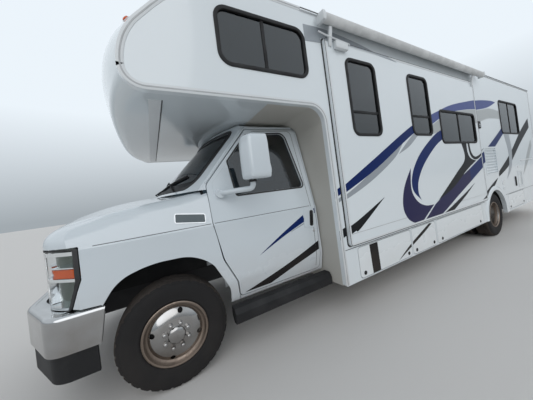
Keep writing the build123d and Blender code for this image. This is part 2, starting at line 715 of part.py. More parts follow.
def build_coach():
    inner_y = COACH_HALF - WALL
    panel = side_prism(outline(*SIDE_PROFILE), inner_y, COACH_HALF)
    panel = panel - arch_cut(1100, 1300, ARCH_R)
    panel = panel + arch_flare()
    left = panel
    for cut in window_cuts(LEFT_WINDOWS, 1100, 1300):
        left = left - cut
    left = left - side_prism(
        rect(SLIDE_X0 + SLIDE_LAP, SLIDE_X1 - SLIDE_LAP, SLIDE_Z0 + SLIDE_LAP, SLIDE_Z1 - SLIDE_LAP, 30), 1100, 1300
    )
    x0, x1, z0, z1 = ax(VENT[0]), ax(VENT[1]), VENT[2], VENT[3]
    recess = side_prism(
        rect(x0 + VENT_RIM, x1 - VENT_RIM, z0 + VENT_RIM, z1 - VENT_RIM, 8), COACH_HALF - 18, COACH_HALF + 1
    )
    left = (left - recess) + louvred_vent(x0, x1, z0, z1)
    right = panel
    for cut in window_cuts(RIGHT_WINDOWS, 1100, 1300):
        right = right - cut
    right = right - side_prism(rect(ax(ENTRY[0]), ax(ENTRY[1]), ENTRY[2], ENTRY[3], 60), 1100, 1300)
    panes = {"left": left, "right": right}
    for name, side, x0, x1, z0, z1 in BAGGAGE_DOORS:
        hole = side_prism(rect(ax(x0), ax(x1), z0, z1, 40), 1100, 1300)
        panes[side] = panes[side] - hole
        lid = side_prism(
            rect(ax(x0) + LID_GAP, ax(x1) - LID_GAP, z0 + LID_GAP, z1 - LID_GAP, 34), COACH_HALF - LID, COACH_HALF
        )
        box = baggage_box(ax(x0) + 30, ax(x1) - 30, z0 - 5)
        if side == "right":
            lid = mirrored(lid)
            box = mirrored(box)
        keep(f"baggage_door_{side}_{name}", lid)
        keep("baggage_boxes", box)
    keep("side_wall_left", panes["left"])
    keep("side_wall_right", mirrored(panes["right"]))
    keep("body_glass", Compound(window_cuts(LEFT_WINDOWS, COACH_HALF - 14, COACH_HALF - 8)))
    keep("body_glass", mirrored(Compound(window_cuts(RIGHT_WINDOWS, COACH_HALF - 14, COACH_HALF - 8))))

    floor = block(COACH_REAR + WALL, ax(-1442), -inner_y, inner_y, FLOOR_LOW, FLOOR_TOP)
    floor = floor - arch_cut(690, 1300, ARCH_R + 40) - arch_cut(-1300, -690, ARCH_R + 40)
    stair = block(ax(ENTRY[0]), ax(ENTRY[1]), -1300, -880, 400, 800)
    floor = floor - stair
    keep("coach_floor", floor)
    wells = arch_cut(705, inner_y - 1, ARCH_R + 25) - arch_cut(717, 1300, ARCH_R + 12)
    keep("wheel_liners", both(wells & block(-5000, 5000, 0, 1300, 470, 1000)))
    tread = block(ax(ENTRY[0]) + 6, ax(ENTRY[1]) - 6, -inner_y + 1, -890, 430, 658)
    tread = tread - block(ax(ENTRY[0]) + 18, ax(ENTRY[1]) - 18, -1300, -902, 445, 700)
    keep("coach_floor", tread)

    wall = block(COACH_REAR, COACH_REAR + WALL, -inner_y, inner_y, 658, 2884)
    keep("rear_wall", wall - front_prism(rect(-520, 520, 1700, 2300, 80), COACH_REAR - 20, COACH_REAR + 80))
    pane = front_prism(rect(-520, 520, 1700, 2300, 80), COACH_REAR + 8, COACH_REAR + 14)
    keep("body_glass", pane)

    crown = outline(
        (inner_y, 2826), (inner_y, 2884), (0, 2962, 9000), (-inner_y, 2884), (-inner_y, 2826), (0, 2904, 9000)
    )
    keep("roof", front_prism(crown, COACH_REAR + WALL, ax(-850)))

    sheet = side_prism(
        outline(
            (ax(-1401), SKIRT_Z),
            (ax(-1401), BUNK_Z + 1, 140),
            (ax(-850), BUNK_Z + 1),
            (ax(-850), BUNK_Z + 41),
            (ax(-1441), BUNK_Z + 41, 100),
            (ax(-1441), SKIRT_Z),
        ),
        -inner_y,
        inner_y,
    )
    sheet = sheet - front_prism(cab_section(-4), ax(-1391), ax(-1100))
    sheet = sheet - block(ax(-1500), ax(-1390), -700, 700, 560, 1900) - block(ax(-1500), ax(-1390), -460, 460, 300, 656)
    keep("cabover_panel", sheet - block(ax(-1500), ax(-1420), -800, 800, 640, 735))
    keep("coach_floor", bunk_floor())


def bunk_floor():
    return block(ax(-1380), ax(20), WALL - COACH_HALF, COACH_HALF - WALL, BUNK_Z + 48, BUNK_Z + 80)


# Cap sections as y, roof z, roof-corner x and radius, brow x, z and radius, chin x, z and radius
CAP_SECTIONS = [
    (-1212, 2884, -367, 1000, 145, 2321, 480, 145, 1997, 138),
    (-880, 2926, -60, 760, 262, 2390, 600, 222, 1993, 110),
    (0, 2962, 180, 560, 345, 2420, 800, 262, 1991, 95),
    (880, 2926, -60, 760, 262, 2390, 600, 222, 1993, 110),
    (1212, 2884, -367, 1000, 145, 2321, 480, 145, 1997, 138),
]


def cap_section(row, inset):
    y, roof, top_x, top_r, brow_x, brow_z, brow_r, chin_x, chin_z, chin_r = row
    face = outline(
        (ax(-850) - inset, roof - inset),
        (ax(top_x) - inset / 2, roof - inset, top_r - inset),
        (ax(brow_x) - inset, brow_z, brow_r - inset),
        (ax(chin_x) - inset, chin_z + inset, chin_r - inset),
        (ax(-850) - inset, chin_z + inset),
    )
    return Plane.XZ.offset(-y) * face


def build_cap():
    outer = loft([cap_section(row, 0) for row in CAP_SECTIONS])
    inner = loft([cap_section(row, 36) for row in CAP_SECTIONS])
    cap = outer - inner
    keep("front_cap", cap - bunk_floor() - block(ax(-900), ax(-800), -1300, 1300, BUNK_Z + 36, 2820))


def build_slide():
    inner_y = COACH_HALF - WALL
    back = COACH_HALF + 5
    x0, x1, z0, z1 = SLIDE_X0, SLIDE_X1, SLIDE_Z0, SLIDE_Z1
    flange = side_prism(rect(x0, x1, z0, z1, 30), back, SLIDE_FACE)
    lap = SLIDE_LAP + 8
    hull = side_prism(rect(x0 + lap, x1 - lap, z0 + lap, z1 - lap, 22), SLIDE_FACE - SLIDE_DEPTH, back)
    room = flange + hull
    hollow = side_prism(
        rect(x0 + lap + 40, x1 - lap - 40, z0 + lap + 40, z1 - lap - 40, 0), SLIDE_FACE - SLIDE_DEPTH - 10, SLIDE_FACE - 42
    )
    room = room - hollow
    for cut in window_cuts(SLIDE_WINDOWS, 1200, 1400):
        room = room - cut
    keep("slide_room", room)
    keep("slide_windows", Compound(window_cuts(SLIDE_WINDOWS, SLIDE_FACE - 14, SLIDE_FACE - 8)))
    tube = rod_x(TOPPER_Y, 2772, TOPPER_R, x0 - 250, x1 + 30)
    topper = tube
    for x in (x0 - 290, x1 + 30):
        topper = topper + block(x, x + 44, SLIDE_FACE + 4, TUBE_LIMIT, 2726, 2818)
    for x in (x0 + 40, x1 - 80):
        topper = topper + block(x, x + 40, SLIDE_FACE, TOPPER_Y, 2560, 2750)
    keep("slide_topper", topper)


def build_roof_gear():
    case = block(ax(-4900), ax(-3950), -340, 340, 2962, 3205)
    case = fillet(case.edges().filter_by(Axis.Z), 90)
    keep("roof_units", fillet(case.edges().group_by(Axis.Z)[-1], 50))
    vents = []
    for x in (-2600, -5700, -7100):
        vents += (block(ax(x) - 190, ax(x) + 190, -190, 190, 2960, 3020)).solids()
    keep("roof_units", Compound(vents))
    awning = rod_x(AWNING_R - TUBE_LIMIT, 2745, AWNING_R, ax(-5640), ax(-1640))
    for x in (ax(-5640), ax(-1640)):
        awning = awning + block(x - 25, x + 25, -1330, -COACH_HALF, 1150, 2760)
    keep("patio_awning", awning)
    door = side_prism(rect(ax(ENTRY[0]) + 6, ax(ENTRY[1]) - 6, ENTRY[2] + 6, ENTRY[3] - 6, 54), COACH_HALF - WALL, COACH_HALF)
    pane = side_prism(rect(ax(-2200), ax(-1820), 1500, 2150, 60), 1100, 1300)
    keep("entry_door", mirrored(door - pane))
    glass = side_prism(rect(ax(-2200), ax(-1820), 1500, 2150, 60), COACH_HALF - 14, COACH_HALF - 8)
    keep("entry_glass", mirrored(glass))
    step = block(ax(-2290), ax(-1730), -1240, -960, 300, 330)
    keep("entry_step", step)
    for x in (ax(-2310), ax(-1724)):
        keep("coach_floor", block(x, x + 14, -1205, -860, 290, 429))
    lamps = front_prism(rect(1000, 1150, 780, 1160, 40), COACH_REAR - 24, COACH_REAR - 1)
    keep("lamps", both(lamps))


build_cab()
build_nose()
build_front_end()
build_chassis()
build_rear_bumper()
build_wheels()
build_cab_fittings()
build_coach()
build_cap()
build_slide()
build_roof_gear()

os.makedirs("parts", exist_ok=True)
for old in os.listdir("parts"):
    os.remove(os.path.join("parts", old))
for name, shape in NODES.items():
    export_step(shape, f"parts/{name}.step")
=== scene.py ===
"""Dresses the motorhome: finishes, stripes, window frames, wheels, lamps, trim, lights and camera."""
import math

import bmesh
import bpy
from mathutils import Matrix, Vector
from mathutils.bvhtree import BVHTree


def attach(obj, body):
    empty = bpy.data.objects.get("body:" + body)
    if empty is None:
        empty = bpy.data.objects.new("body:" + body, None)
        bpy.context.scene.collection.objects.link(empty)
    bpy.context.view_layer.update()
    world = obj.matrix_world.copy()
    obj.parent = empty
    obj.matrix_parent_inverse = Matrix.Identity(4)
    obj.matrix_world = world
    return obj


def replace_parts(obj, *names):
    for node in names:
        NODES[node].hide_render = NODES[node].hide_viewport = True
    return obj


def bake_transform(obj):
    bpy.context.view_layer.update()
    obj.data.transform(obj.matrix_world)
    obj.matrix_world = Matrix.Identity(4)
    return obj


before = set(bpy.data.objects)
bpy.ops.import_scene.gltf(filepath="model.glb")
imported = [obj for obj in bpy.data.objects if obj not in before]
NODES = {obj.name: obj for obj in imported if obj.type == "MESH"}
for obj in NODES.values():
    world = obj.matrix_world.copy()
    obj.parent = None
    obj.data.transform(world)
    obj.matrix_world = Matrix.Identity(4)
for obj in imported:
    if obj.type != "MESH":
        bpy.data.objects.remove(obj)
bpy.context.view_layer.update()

# Driving sizes, in metres, in the frame's own axes
FRONT_AXLE = 3.6
REAR_AXLE = -1.6
AXLE_Z = 0.372
COACH_Y = 1.257
SLIDE_Y = 1.292
SLIDE = (-1.13, 2.11, 0.69, 2.64)
PROUD = 0.0007
SIDES = (("left", 1), ("right", -1))
# Shading is soft below this angle, and bevels round the edges above it
EDGE_ANGLE = 35
# The depths, from the middle, between which a cutter passes through a wall
THROUGH = (1.0, 1.5)
# Turned shapes stop at this radius, just short of their axis
AXIS = 0.0005


def ax(x):
    """A station x metres ahead of the front axle."""
    return FRONT_AXLE + x


def stations(points):
    """Points given from the front axle, in the frame's own x."""
    return [(ax(p[0]), *p[1:]) for p in points]


def from_axle(row):
    """A row's first four values as edges x, x, z, z, in the frame's own x."""
    return ax(row[0]), ax(row[1]), row[2], row[3]


# Materials
def surface(mat):
    return mat.node_tree.nodes["Principled BSDF"].inputs


def feed(mat, socket, source):
    mat.node_tree.links.new(source, surface(mat)[socket])


def shader(name, colour, rough=0.4, metal=0.0, more=None):
    """A Principled material with its plain values set on the shader's own sockets."""
    mat = bpy.data.materials.new(name)
    mat.use_nodes = True
    mat.diffuse_color = (*colour, 1)
    plain = {"Base Color": (*colour, 1), "Roughness": rough, "Metallic": metal}
    for key, value in (plain | (more or {})).items():
        surface(mat)[key].default_value = value
    return mat


def node(mat, kind, inputs, output, **values):
    """A shader node with its inputs set or linked, as one of its outputs."""
    made = mat.node_tree.nodes.new(kind)
    for key, value in values.items():
        setattr(made, key, value)
    for key, value in inputs.items():
        if isinstance(value, bpy.types.NodeSocket):
            mat.node_tree.links.new(value, made.inputs[key])
        else:
            made.inputs[key].default_value = value
    return made.outputs[output]


def noise(mat, scale, detail=4.0, stretch=None):
    """A noise pattern in the object's own coordinates."""
    source = node(mat, "ShaderNodeTexCoord", {}, "Object")
    if stretch:
        source = node(mat, "ShaderNodeMapping", {"Vector": source, "Scale": stretch}, "Vector")
    return node(mat, "ShaderNodeTexNoise", {"Vector": source, "Scale": scale, "Detail": detail}, "Fac")


def spread(mat, fac, low, high, a, b):
    """Maps a pattern's range from low to high onto a to b."""
    values = {"Value": fac, "From Min": low, "From Max": high, "To Min": a, "To Max": b}
    return node(mat, "ShaderNodeMapRange", values, "Result")


def blend_colour(mat, fac, first, second):
    colours = {"A": (*first, 1), "B": (*second, 1), "Factor": fac}
    return node(mat, "ShaderNodeMix", colours, "Result", data_type="RGBA")


def bump(mat, fac, strength, distance):
    values = {"Height": fac, "Strength": strength, "Distance": distance}
    feed(mat, "Normal", node(mat, "ShaderNodeBump", values, "Normal"))


def road_dust_and_ground_reflection(mat, colour, dust, top, most, dull=0.75):
    """Brown towards the ground up to height top, broken by noise: road dust on paint and tyres, painted
    ground reflection on chrome.
    """
    coords = {"Vector": node(mat, "ShaderNodeTexCoord", {}, "Object")}
    height = spread(mat, node(mat, "ShaderNodeSeparateXYZ", coords, "Z"), 0.15, top, most, 0.0)
    patches = spread(mat, noise(mat, 5.0, 8.0), 0.3, 0.75, 0.35, 1.0)
    fac = node(mat, "ShaderNodeMath", {0: height, 1: patches}, "Value", operation="MULTIPLY")
    feed(mat, "Base Color", blend_colour(mat, fac, colour, dust))
    feed(mat, "Roughness", spread(mat, fac, 0.0, 0.5, surface(mat)["Roughness"].default_value, dull))


WHITE = (0.63, 0.685, 0.725)
DUST = (0.42, 0.29, 0.21)


def painted(name, colour, rough, top=0.9, most=0.5, coat=0.6):
    """Paint, laminate or film with road dust; without a coat it shines less."""
    shine = {"Coat Weight": coat, "Coat Roughness": 0.06, "Specular IOR Level": 0.5 if coat else 0.12}
    mat = shader(name, colour, rough, 0.0, shine)
    road_dust_and_ground_reflection(mat, colour, DUST, top, most)
    bump(mat, noise(mat, 2.2, 2.0), 0.1, 0.02)
    return mat


# Chrome that turns brown towards the ground: a painted reflection of the brown ground, not dust.
def chrome_with_painted_ground_reflection(name, colour, rough, top, most):
    mat = shader(name, colour, rough, 1.0)
    road_dust_and_ground_reflection(mat, colour, (0.17, 0.135, 0.105), top, most, 0.16)
    return mat


def glass(name, tint, rough=0.02, through=1.0, ior=1.45):
    mat = shader(name, tint, rough, 0.0, {"Transmission Weight": through, "IOR": ior})
    feed(mat, "Roughness", spread(mat, noise(mat, 3.0, 6.0), 0.4, 0.8, rough, rough + 0.05))
    return mat


def grained(name, colour, rough, scale=220.0, depth=0.0006):
    """Moulded plastic, fabric or cast metal with a fine grain and patchy wear."""
    mat = shader(name, colour, rough)
    worn = tuple(min(1.0, c * 1.5 + 0.02) for c in colour)
    patches = spread(mat, noise(mat, 7.0, 8.0), 0.45, 0.75, 0.0, 0.55)
    feed(mat, "Base Color", blend_colour(mat, patches, colour, worn))
    bump(mat, noise(mat, scale, 3.0), 0.5, depth)
    return mat


def brushed(name, colour, rough, stretch):
    mat = shader(name, colour, rough, 1.0)
    lines = noise(mat, 60.0, 4.0, stretch)
    feed(mat, "Roughness", spread(mat, lines, 0.3, 0.7, rough * 0.7, rough * 1.5))
    bump(mat, lines, 0.15, 0.0008)
    return mat


def make_materials():
    mats = {
        "paint": painted("cab_paint", WHITE, 0.16),
        "panel": painted("coach_panel", (0.755, 0.805, 0.835), 0.2, 0.75, 0.12),
        "skirt": painted("skirt_panel", (0.81, 0.85, 0.87), 0.23, 0.7, 0.22),
        "trim": painted("white_trim", (0.7, 0.725, 0.74), 0.35, 0.7, 0.3, 0.2),
        # The cap and roof white is darker than the coach panels: painted shade for the shaded curve under the
        # cap.
        "cap": painted("moulded_cap_darkened_for_shade", (0.67, 0.725, 0.755), 0.13),
        # Painted shade: the bunk's underside is given a darker, greyer tone for the shade that falls under
        # it.
        "underside": painted("bunk_underside_painted_shade", (0.5, 0.49, 0.455), 0.5, 0.7, 0.1, 0.0),
        "blue": painted("stripe_blue", (0.004, 0.018, 0.11), 0.38, 0.8, 0.2, 0.0),
        "indigo": painted("stripe_indigo", (0.022, 0.02, 0.075), 0.4, 0.8, 0.25, 0.0),
        "haze": painted("stripe_hazy_blue", (0.085, 0.11, 0.28), 0.4, 0.8, 0.2, 0.0),
        "black_stripe": painted("stripe_black", (0.01, 0.011, 0.013), 0.4, 0.8, 0.12, 0.0),
        "silver": painted("stripe_silver", (0.36, 0.38, 0.38), 0.35, 0.8, 0.2),
        "grey_stripe": painted("stripe_grey", (0.3, 0.33, 0.36), 0.35, 0.8, 0.2),
        # The chrome's brown towards the ground is a painted reflection of the ground.
        "chrome": chrome_with_painted_ground_reflection("chrome", (0.52, 0.53, 0.54), 0.05, 1.0, 1.0),
        "bright": shader("lamp_chrome", (0.9, 0.91, 0.92), 0.1, 1.0),
        "smoked": shader("smoked_chrome", (0.13, 0.155, 0.14), 0.14, 1.0),
        "rim": brushed("dusty_rim", (0.25, 0.2, 0.165), 0.45, (1, 1, 1)),
        "plate": shader("badge_plate", (0.06, 0.07, 0.075), 0.22, 1.0),
        "steel": brushed("stainless", (0.66, 0.66, 0.66), 0.22, (1, 1, 6)),
        "alloy": brushed("aluminium", (0.74, 0.75, 0.76), 0.32, (0.1, 4, 4)),
        "glass": glass("privacy_glass", (0.06, 0.09, 0.11), ior=1.75),
        "clear": glass("lamp_glass", (0.95, 0.96, 0.96), 0.01),
        "lens": glass("headlamp_lens", (0.97, 0.98, 0.98), 0.0, ior=1.15),
        "amber": glass("amber_lens", (0.86, 0.13, 0.012), 0.12, 0.35),
        "red": glass("red_lens", (0.6, 0.008, 0.008), 0.1, 0.3),
        "mirror": shader("mirror_face", (0.75, 0.77, 0.78), 0.01, 1.0),
        "plastic": grained("black_plastic", (0.012, 0.012, 0.013), 0.6),
        # Dark lines for panel gaps, and for the painted shadow above the belt crease.
        "seam": grained("panel_gap_and_painted_shadow", (0.085, 0.088, 0.092), 0.7, 120.0),
        # Grey for the vinyl edge insert, and for the painted shade line along the slide-out's crease.
        "insert": grained("vinyl_insert_and_crease_shade", (0.42, 0.43, 0.44), 0.45, 90.0),
        "canvas": grained("awning_fabric", (0.62, 0.63, 0.63), 0.85, 900.0, 0.0008),
        "rubber": grained("rubber", (0.018, 0.018, 0.019), 0.65, 120.0),
        "dash": grained("dash_plastic", (0.16, 0.15, 0.14), 0.6),
        "seat": grained("seat_fabric", (0.23, 0.215, 0.2), 0.9, 420.0, 0.0015),
        "iron": grained("frame_paint", (0.028, 0.028, 0.03), 0.6, 90.0),
        "floor": grained("floor_board", (0.27, 0.19, 0.12), 0.6, 40.0),
        "inner": grained("liner_grey", (0.3, 0.29, 0.27), 0.8, 60.0),
    }
    for name, dust in (("tyre", 0.1), ("tread", 0.75)):
        mats[name] = grained(f"{name}_rubber", (0.02, 0.019, 0.019), 0.8, 150.0)
        road_dust_and_ground_reflection(mats[name], (0.013, 0.013, 0.014), (0.15, 0.12, 0.1), 1.2, dust)
        surface(mats[name])["Specular IOR Level"].default_value = 0.25
    surface(mats["plastic"])["Specular IOR Level"].default_value = 0.3
    surface(mats["seat"])["Sheen Weight"].default_value = 0.4
    return mats


def by_member(groups):
    """Turns groups of names into the group of each name."""
    return {member: group for group, members in groups.items() for member in members.split()}


MATS = make_materials()


# Mesh building
def in_scene(name, data):
    """A new object in the scene."""
    obj = bpy.data.objects.new(name, data)
    bpy.context.scene.collection.objects.link(obj)
    return obj


def mesh_of(name, verts, faces):
    """A mesh whose double points are merged and whose faces point outwards."""
    mesh = bpy.data.meshes.new(name)
    mesh.from_pydata([tuple(v) for v in verts], [], faces)
    bm = bmesh.new()
    bm.from_mesh(mesh)
    bmesh.ops.remove_doubles(bm, verts=bm.verts, dist=1e-6)
    bmesh.ops.recalc_face_normals(bm, faces=bm.faces)
    bm.to_mesh(mesh)
    bm.free()
    return mesh


def soften(obj, degrees):
    """Shades an object smooth below an angle."""
    for poly in obj.data.polygons:
        poly.use_smooth = True
    with bpy.context.temp_override(object=obj, active_object=obj, selected_editable_objects=[obj]):
        bpy.ops.object.shade_auto_smooth(angle=math.radians(degrees))


def dressed(obj, mat, body):
    """Gives a piece its material, and lets it ride on a body if one is named."""
    obj.data.materials.append(MATS[mat])
    if body:
        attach(obj, body)
    return obj


def add(name, verts, faces, mat, body="chassis", smooth=0, bevel=0.0):
    """A new piece from vertices and faces, with soft shading below an angle or with bevelled edges."""
    obj = in_scene(name, mesh_of(name, verts, faces))
    if bevel:
        mod = obj.modifiers.new("edge", "BEVEL")
        mod.width = bevel
        mod.segments = 2
        mod.limit_method = "ANGLE"
        mod.angle_limit = math.radians(EDGE_ANGLE)
    if smooth or bevel:
        soften(obj, smooth or EDGE_ANGLE)
    return dressed(obj, mat, body)


def quads(rows, count, around=True, along=False):
    """Faces between rows of points; around closes each row, and along joins the last row to the first."""
    faces = []
    for i in range(rows if along else rows - 1):
        a = i * count
        b = (i + 1) % rows * count
        for k in range(count if around else count - 1):
            j = (k + 1) % count
            faces.append((a + k, a + j, b + j, b + k))
    return faces


def capped(rows, count):
    """Faces between rows of points, with the first and the last row closed."""
    last = (rows - 1) * count
    return [tuple(range(count)), tuple(range(last, last + count))] + quads(rows, count)


def bar_faces(count, closed):
    """Faces of a four-sided bar through a number of places."""
    ends = [] if closed else [(0, 1, 2, 3), tuple(range(4 * count - 4, 4 * count))]
    return quads(count, 4, along=closed) + ends


def angles(count):
    return [2 * math.pi * i / count for i in range(count)]


def rect(x0, x1, z0, z1):
    return [(x0, z0), (x1, z0), (x1, z1), (x0, z1)]


def inset(edges, by):
    """Four edges drawn in all round."""
    return edges[0] + by, edges[1] - by, edges[2] + by, edges[3] - by


def rounded(u0, u1, v0, v1, r, n=6):
    """A rounded rectangle's outline."""
    points = []
    centres = ((u1 - r, v1 - r), (u0 + r, v1 - r), (u0 + r, v0 + r), (u1 - r, v0 + r))
    for quarter, (cu, cv) in enumerate(centres):
        for i in range(n + 1):
            a = math.radians(90 * quarter + 90 * i / n)
            points.append((cu + r * math.cos(a), cv + r * math.sin(a)))
    return points


def place(axis, u, v, w):
    """A point from its two outline coordinates and its depth along an axis."""
    if axis == "y":
        return (u, w, v)
    if axis == "x":
        return (w, u, v)
    return (u, v, w)


def prism_parts(outline, depth, axis="y", side=1):
    """The points and faces of an outline carried between two depths along an axis."""
    verts = [place(axis, u, v, w) for w in sorted(side * d for d in depth) for u, v in outline]
    return verts, capped(2, len(outline))


def prism(name, outline, depth, mat, body="chassis", axis="y", side=1, **more):
    return add(name, *prism_parts(outline, depth, axis, side), mat, body, **more)


def cutter(outline, depth, side=1):
    """A solid to cut with, which belongs to nothing."""
    return in_scene("cutter", mesh_of("cutter", *prism_parts(outline, depth, "y", side)))


def ring(name, edges, outer, inner, depth, mat, body="chassis", axis="y", side=1, **more):
    """A flat frame along four edges; outer and inner give how far inside an outline is, and its radius."""
    lo, hi = sorted(side * d for d in depth)
    outer = rounded(*inset(edges, outer[0]), outer[1])
    inner = rounded(*inset(edges, inner[0]), inner[1])
    verts = []
    for outline, w in ((outer, lo), (outer, hi), (inner, hi), (inner, lo)):
        verts += [place(axis, u, v, w) for u, v in outline]
    return add(name, verts, quads(4, len(outer), along=True), mat, body, **more)


def box(name, x, y, z, mat, body="chassis", **more):
    return prism(name, rect(*x, *z), y, mat, body, **more)


def lathe(name, profile, centre, mat, body, side):
    """A wheel part turned about its axle; the profile gives radius and distance outwards."""
    segments = 96
    verts = [
        (centre[0] + r * math.cos(a), centre[1] + side * t, centre[2] + r * math.sin(a))
        for a in angles(segments) for r, t in profile
    ]
    return add(name, verts, quads(segments, len(profile), along=True), mat, body, smooth=EDGE_ANGLE)


def turned(name, profile, at, facing, mat, body="chassis", segments=48):
    """A shape turned about a line that faces any way; the profile gives radius and distance along it."""
    turn = Vector(facing).to_track_quat("Z", "Y").to_matrix()
    verts = []
    for a in angles(segments):
        verts += [Vector(at) + turn @ Vector((r * math.cos(a), r * math.sin(a), h)) for r, h in profile]
    return add(name, verts, quads(segments, len(profile), along=True), mat, body, smooth=EDGE_ANGLE)


def boxes(name, rows, mat):
    """Many small blocks as one piece, each given by x, y and z ranges."""
    verts = []
    faces = []
    for x, y, z in rows:
        base = len(verts)
        verts += [(a, b, c) for a in x for b in y for c in z]
        sides = ((0, 1, 3, 2), (4, 6, 7, 5), (0, 4, 5, 1), (2, 3, 7, 6), (0, 2, 6, 4), (1, 5, 7, 3))
        faces += [[base + i for i in quad] for quad in sides]
    return add(name, verts, faces, mat)


def tube(name, points, radius, mat, body="chassis", cyclic=False, smooth=False):
    """A round bar along points."""
    curve = bpy.data.curves.new(name, "CURVE")
    curve.dimensions = "3D"
    curve.bevel_depth = radius
    curve.bevel_resolution = 4
    curve.use_fill_caps = True
    spline = curve.splines.new("NURBS" if smooth else "POLY")
    spline.points.add(len(points) - 1)
    for point, place_at in zip(spline.points, points):
        point.co = (*place_at, 1)
    if smooth:
        spline.order_u = 3
        spline.use_endpoint_u = True
    spline.use_cyclic_u = cyclic
    return dressed(in_scene(name, curve), mat, body)


def apply_modifiers(obj):
    """Bakes an object's modifiers into its own mesh."""
    graph = bpy.context.evaluated_depsgraph_get()
    graph.update()
    mesh = bpy.data.meshes.new_from_object(obj.evaluated_get(graph))
    obj.modifiers.clear()
    obj.data = mesh


def carve(obj, cutters, operation="DIFFERENCE"):
    """Cuts an object by others, which stay as they are."""
    for other in cutters:
        mod = obj.modifiers.new("cut", "BOOLEAN")
        mod.operation = operation
        mod.solver = "EXACT"
        mod.object = other
    apply_modifiers(obj)


def discard(*objs):
    for obj in objs:
        bpy.data.objects.remove(obj)


def smooth_line(points, n=6):
    """Points along a Catmull-Rom curve through a few given ones."""
    if len(points) < 3:
        return list(points)
    out = []
    for i in range(len(points) - 1):
        p0, p1, p2, p3 = (Vector(points[min(max(0, i + k), len(points) - 1)]) for k in (-1, 0, 1, 2))
        for t in (k / n for k in range(n)):
            square = (2 * p0 - 5 * p1 + 4 * p2 - p3) * t ** 2
            cubic = (3 * p1 - p0 - 3 * p2 + p3) * t ** 3
            out.append(tuple(0.5 * (2 * p1 + (p2 - p0) * t + square + cubic)))
    out.append(points[-1])
    return out


# Finishes of the CAD nodes; the others are painted as the skirts
NODE_FINISH = by_member({
    "iron": "chassis_frame engine_block front_axle_beams springs rear_axle knuckle_left knuckle_right",
    "plastic": "fuel_tank radiator front_valance running_boards wheel_liners steering_wheel entry_step",
    "paint": "cab_shell fenders hood cab_door_left cab_door_right",
    "glass": "body_glass cab_glass_left cab_glass_right slide_windows entry_glass",
    "chrome": "grille front_bumper front_rim_left front_rim_right rear_rims_left rear_rims_right",
    "panel": "side_wall_left side_wall_right rear_wall slide_room entry_door",
    "tyre": "front_tyre_left front_tyre_right rear_tyres_left rear_tyres_right",
    "alloy": "patio_awning slide_topper", "cap": "roof front_cap", "steel": "exhaust", "clear": "lamps",
    "seat": "cab_seats", "dash": "dashboard", "floor": "coach_floor", "underside": "cabover_panel",
    "inner": "baggage_boxes", "trim": "roof_units",
})


def finish_nodes():
    for name, obj in NODES.items():
        mat = MATS[NODE_FINISH.get(name, "skirt")]
        if not obj.material_slots:
            obj.data.materials.append(mat)
        for slot in obj.material_slots:
            slot.material = mat
        soften(obj, 30)


# Windows on each wall: its depth, body and side, then rows of x, x, z, z, corner radius and dividers
BUNK_WINDOW = (-1.27, -0.485, 2.245, 2.665, 0.085, [("v", -0.865)])
WALLS = {
    "left": (COACH_Y, "chassis", 1, [BUNK_WINDOW, (-7.0, -5.95, 1.83, 2.46, 0.07, [("v", -6.475)])]),
    "right": (COACH_Y, "chassis", -1, [
        BUNK_WINDOW,
        (-3.7, -2.7, 1.56, 2.24, 0.07, [("v", -3.2), ("h", 1.8)]),
        (-5.15, -4.55, 1.83, 2.3, 0.07, [("h", 2.0)]),
        (-7.3, -6.25, 1.7, 2.3, 0.07, [("v", -6.78)]),
    ]),
    "slide": (SLIDE_Y, "slide_room", 1, [
        (-2.165, -1.74, 1.735, 2.485, 0.07, [("h", 1.965)]),
        (-3.23, -2.79, 1.75, 2.48, 0.07, [("h", 1.98)]),
        (-4.6, -3.48, 1.645, 2.09, 0.06, [("v", -4.04)]),
    ]),
    "entry": (COACH_Y, "entry_door", -1, [(-2.2, -1.82, 1.5, 2.15, 0.06, [])]),
}
FRAME_OUT = 0.016
FRAME_IN = 0.014
SASH = 0.013


def window_frame(name, row, face, body, side):
    """A black clamp-ring frame with its sash dividers, proud of the wall."""
    edges = from_axle(row)
    r, dividers = row[4:]
    ring(name, edges, (-FRAME_OUT, r + FRAME_OUT), (FRAME_IN, r - FRAME_IN), (face - 0.012, face + 0.009),
         "plastic", body, side=side, bevel=0.004)
    x0, x1, z0, z1 = inset(edges, 0.01)
    for i, (kind, at) in enumerate(dividers):
        if kind == "v":
            bar = rect(ax(at) - SASH, ax(at) + SASH, z0, z1)
        else:
            bar = rect(x0, x1, at - SASH, at + SASH)
        prism(f"{name}_bar_{i}", bar, (face - 0.009, face - 0.001), "plastic", body, side=side, bevel=0.002)


def build_windows():
    for wall, (face, body, side, rows) in WALLS.items():
        for i, row in enumerate(rows):
            number = f"_{i}" if len(rows) > 1 else ""
            window_frame(f"window_frame_{wall}{number}", row, face, body, side)


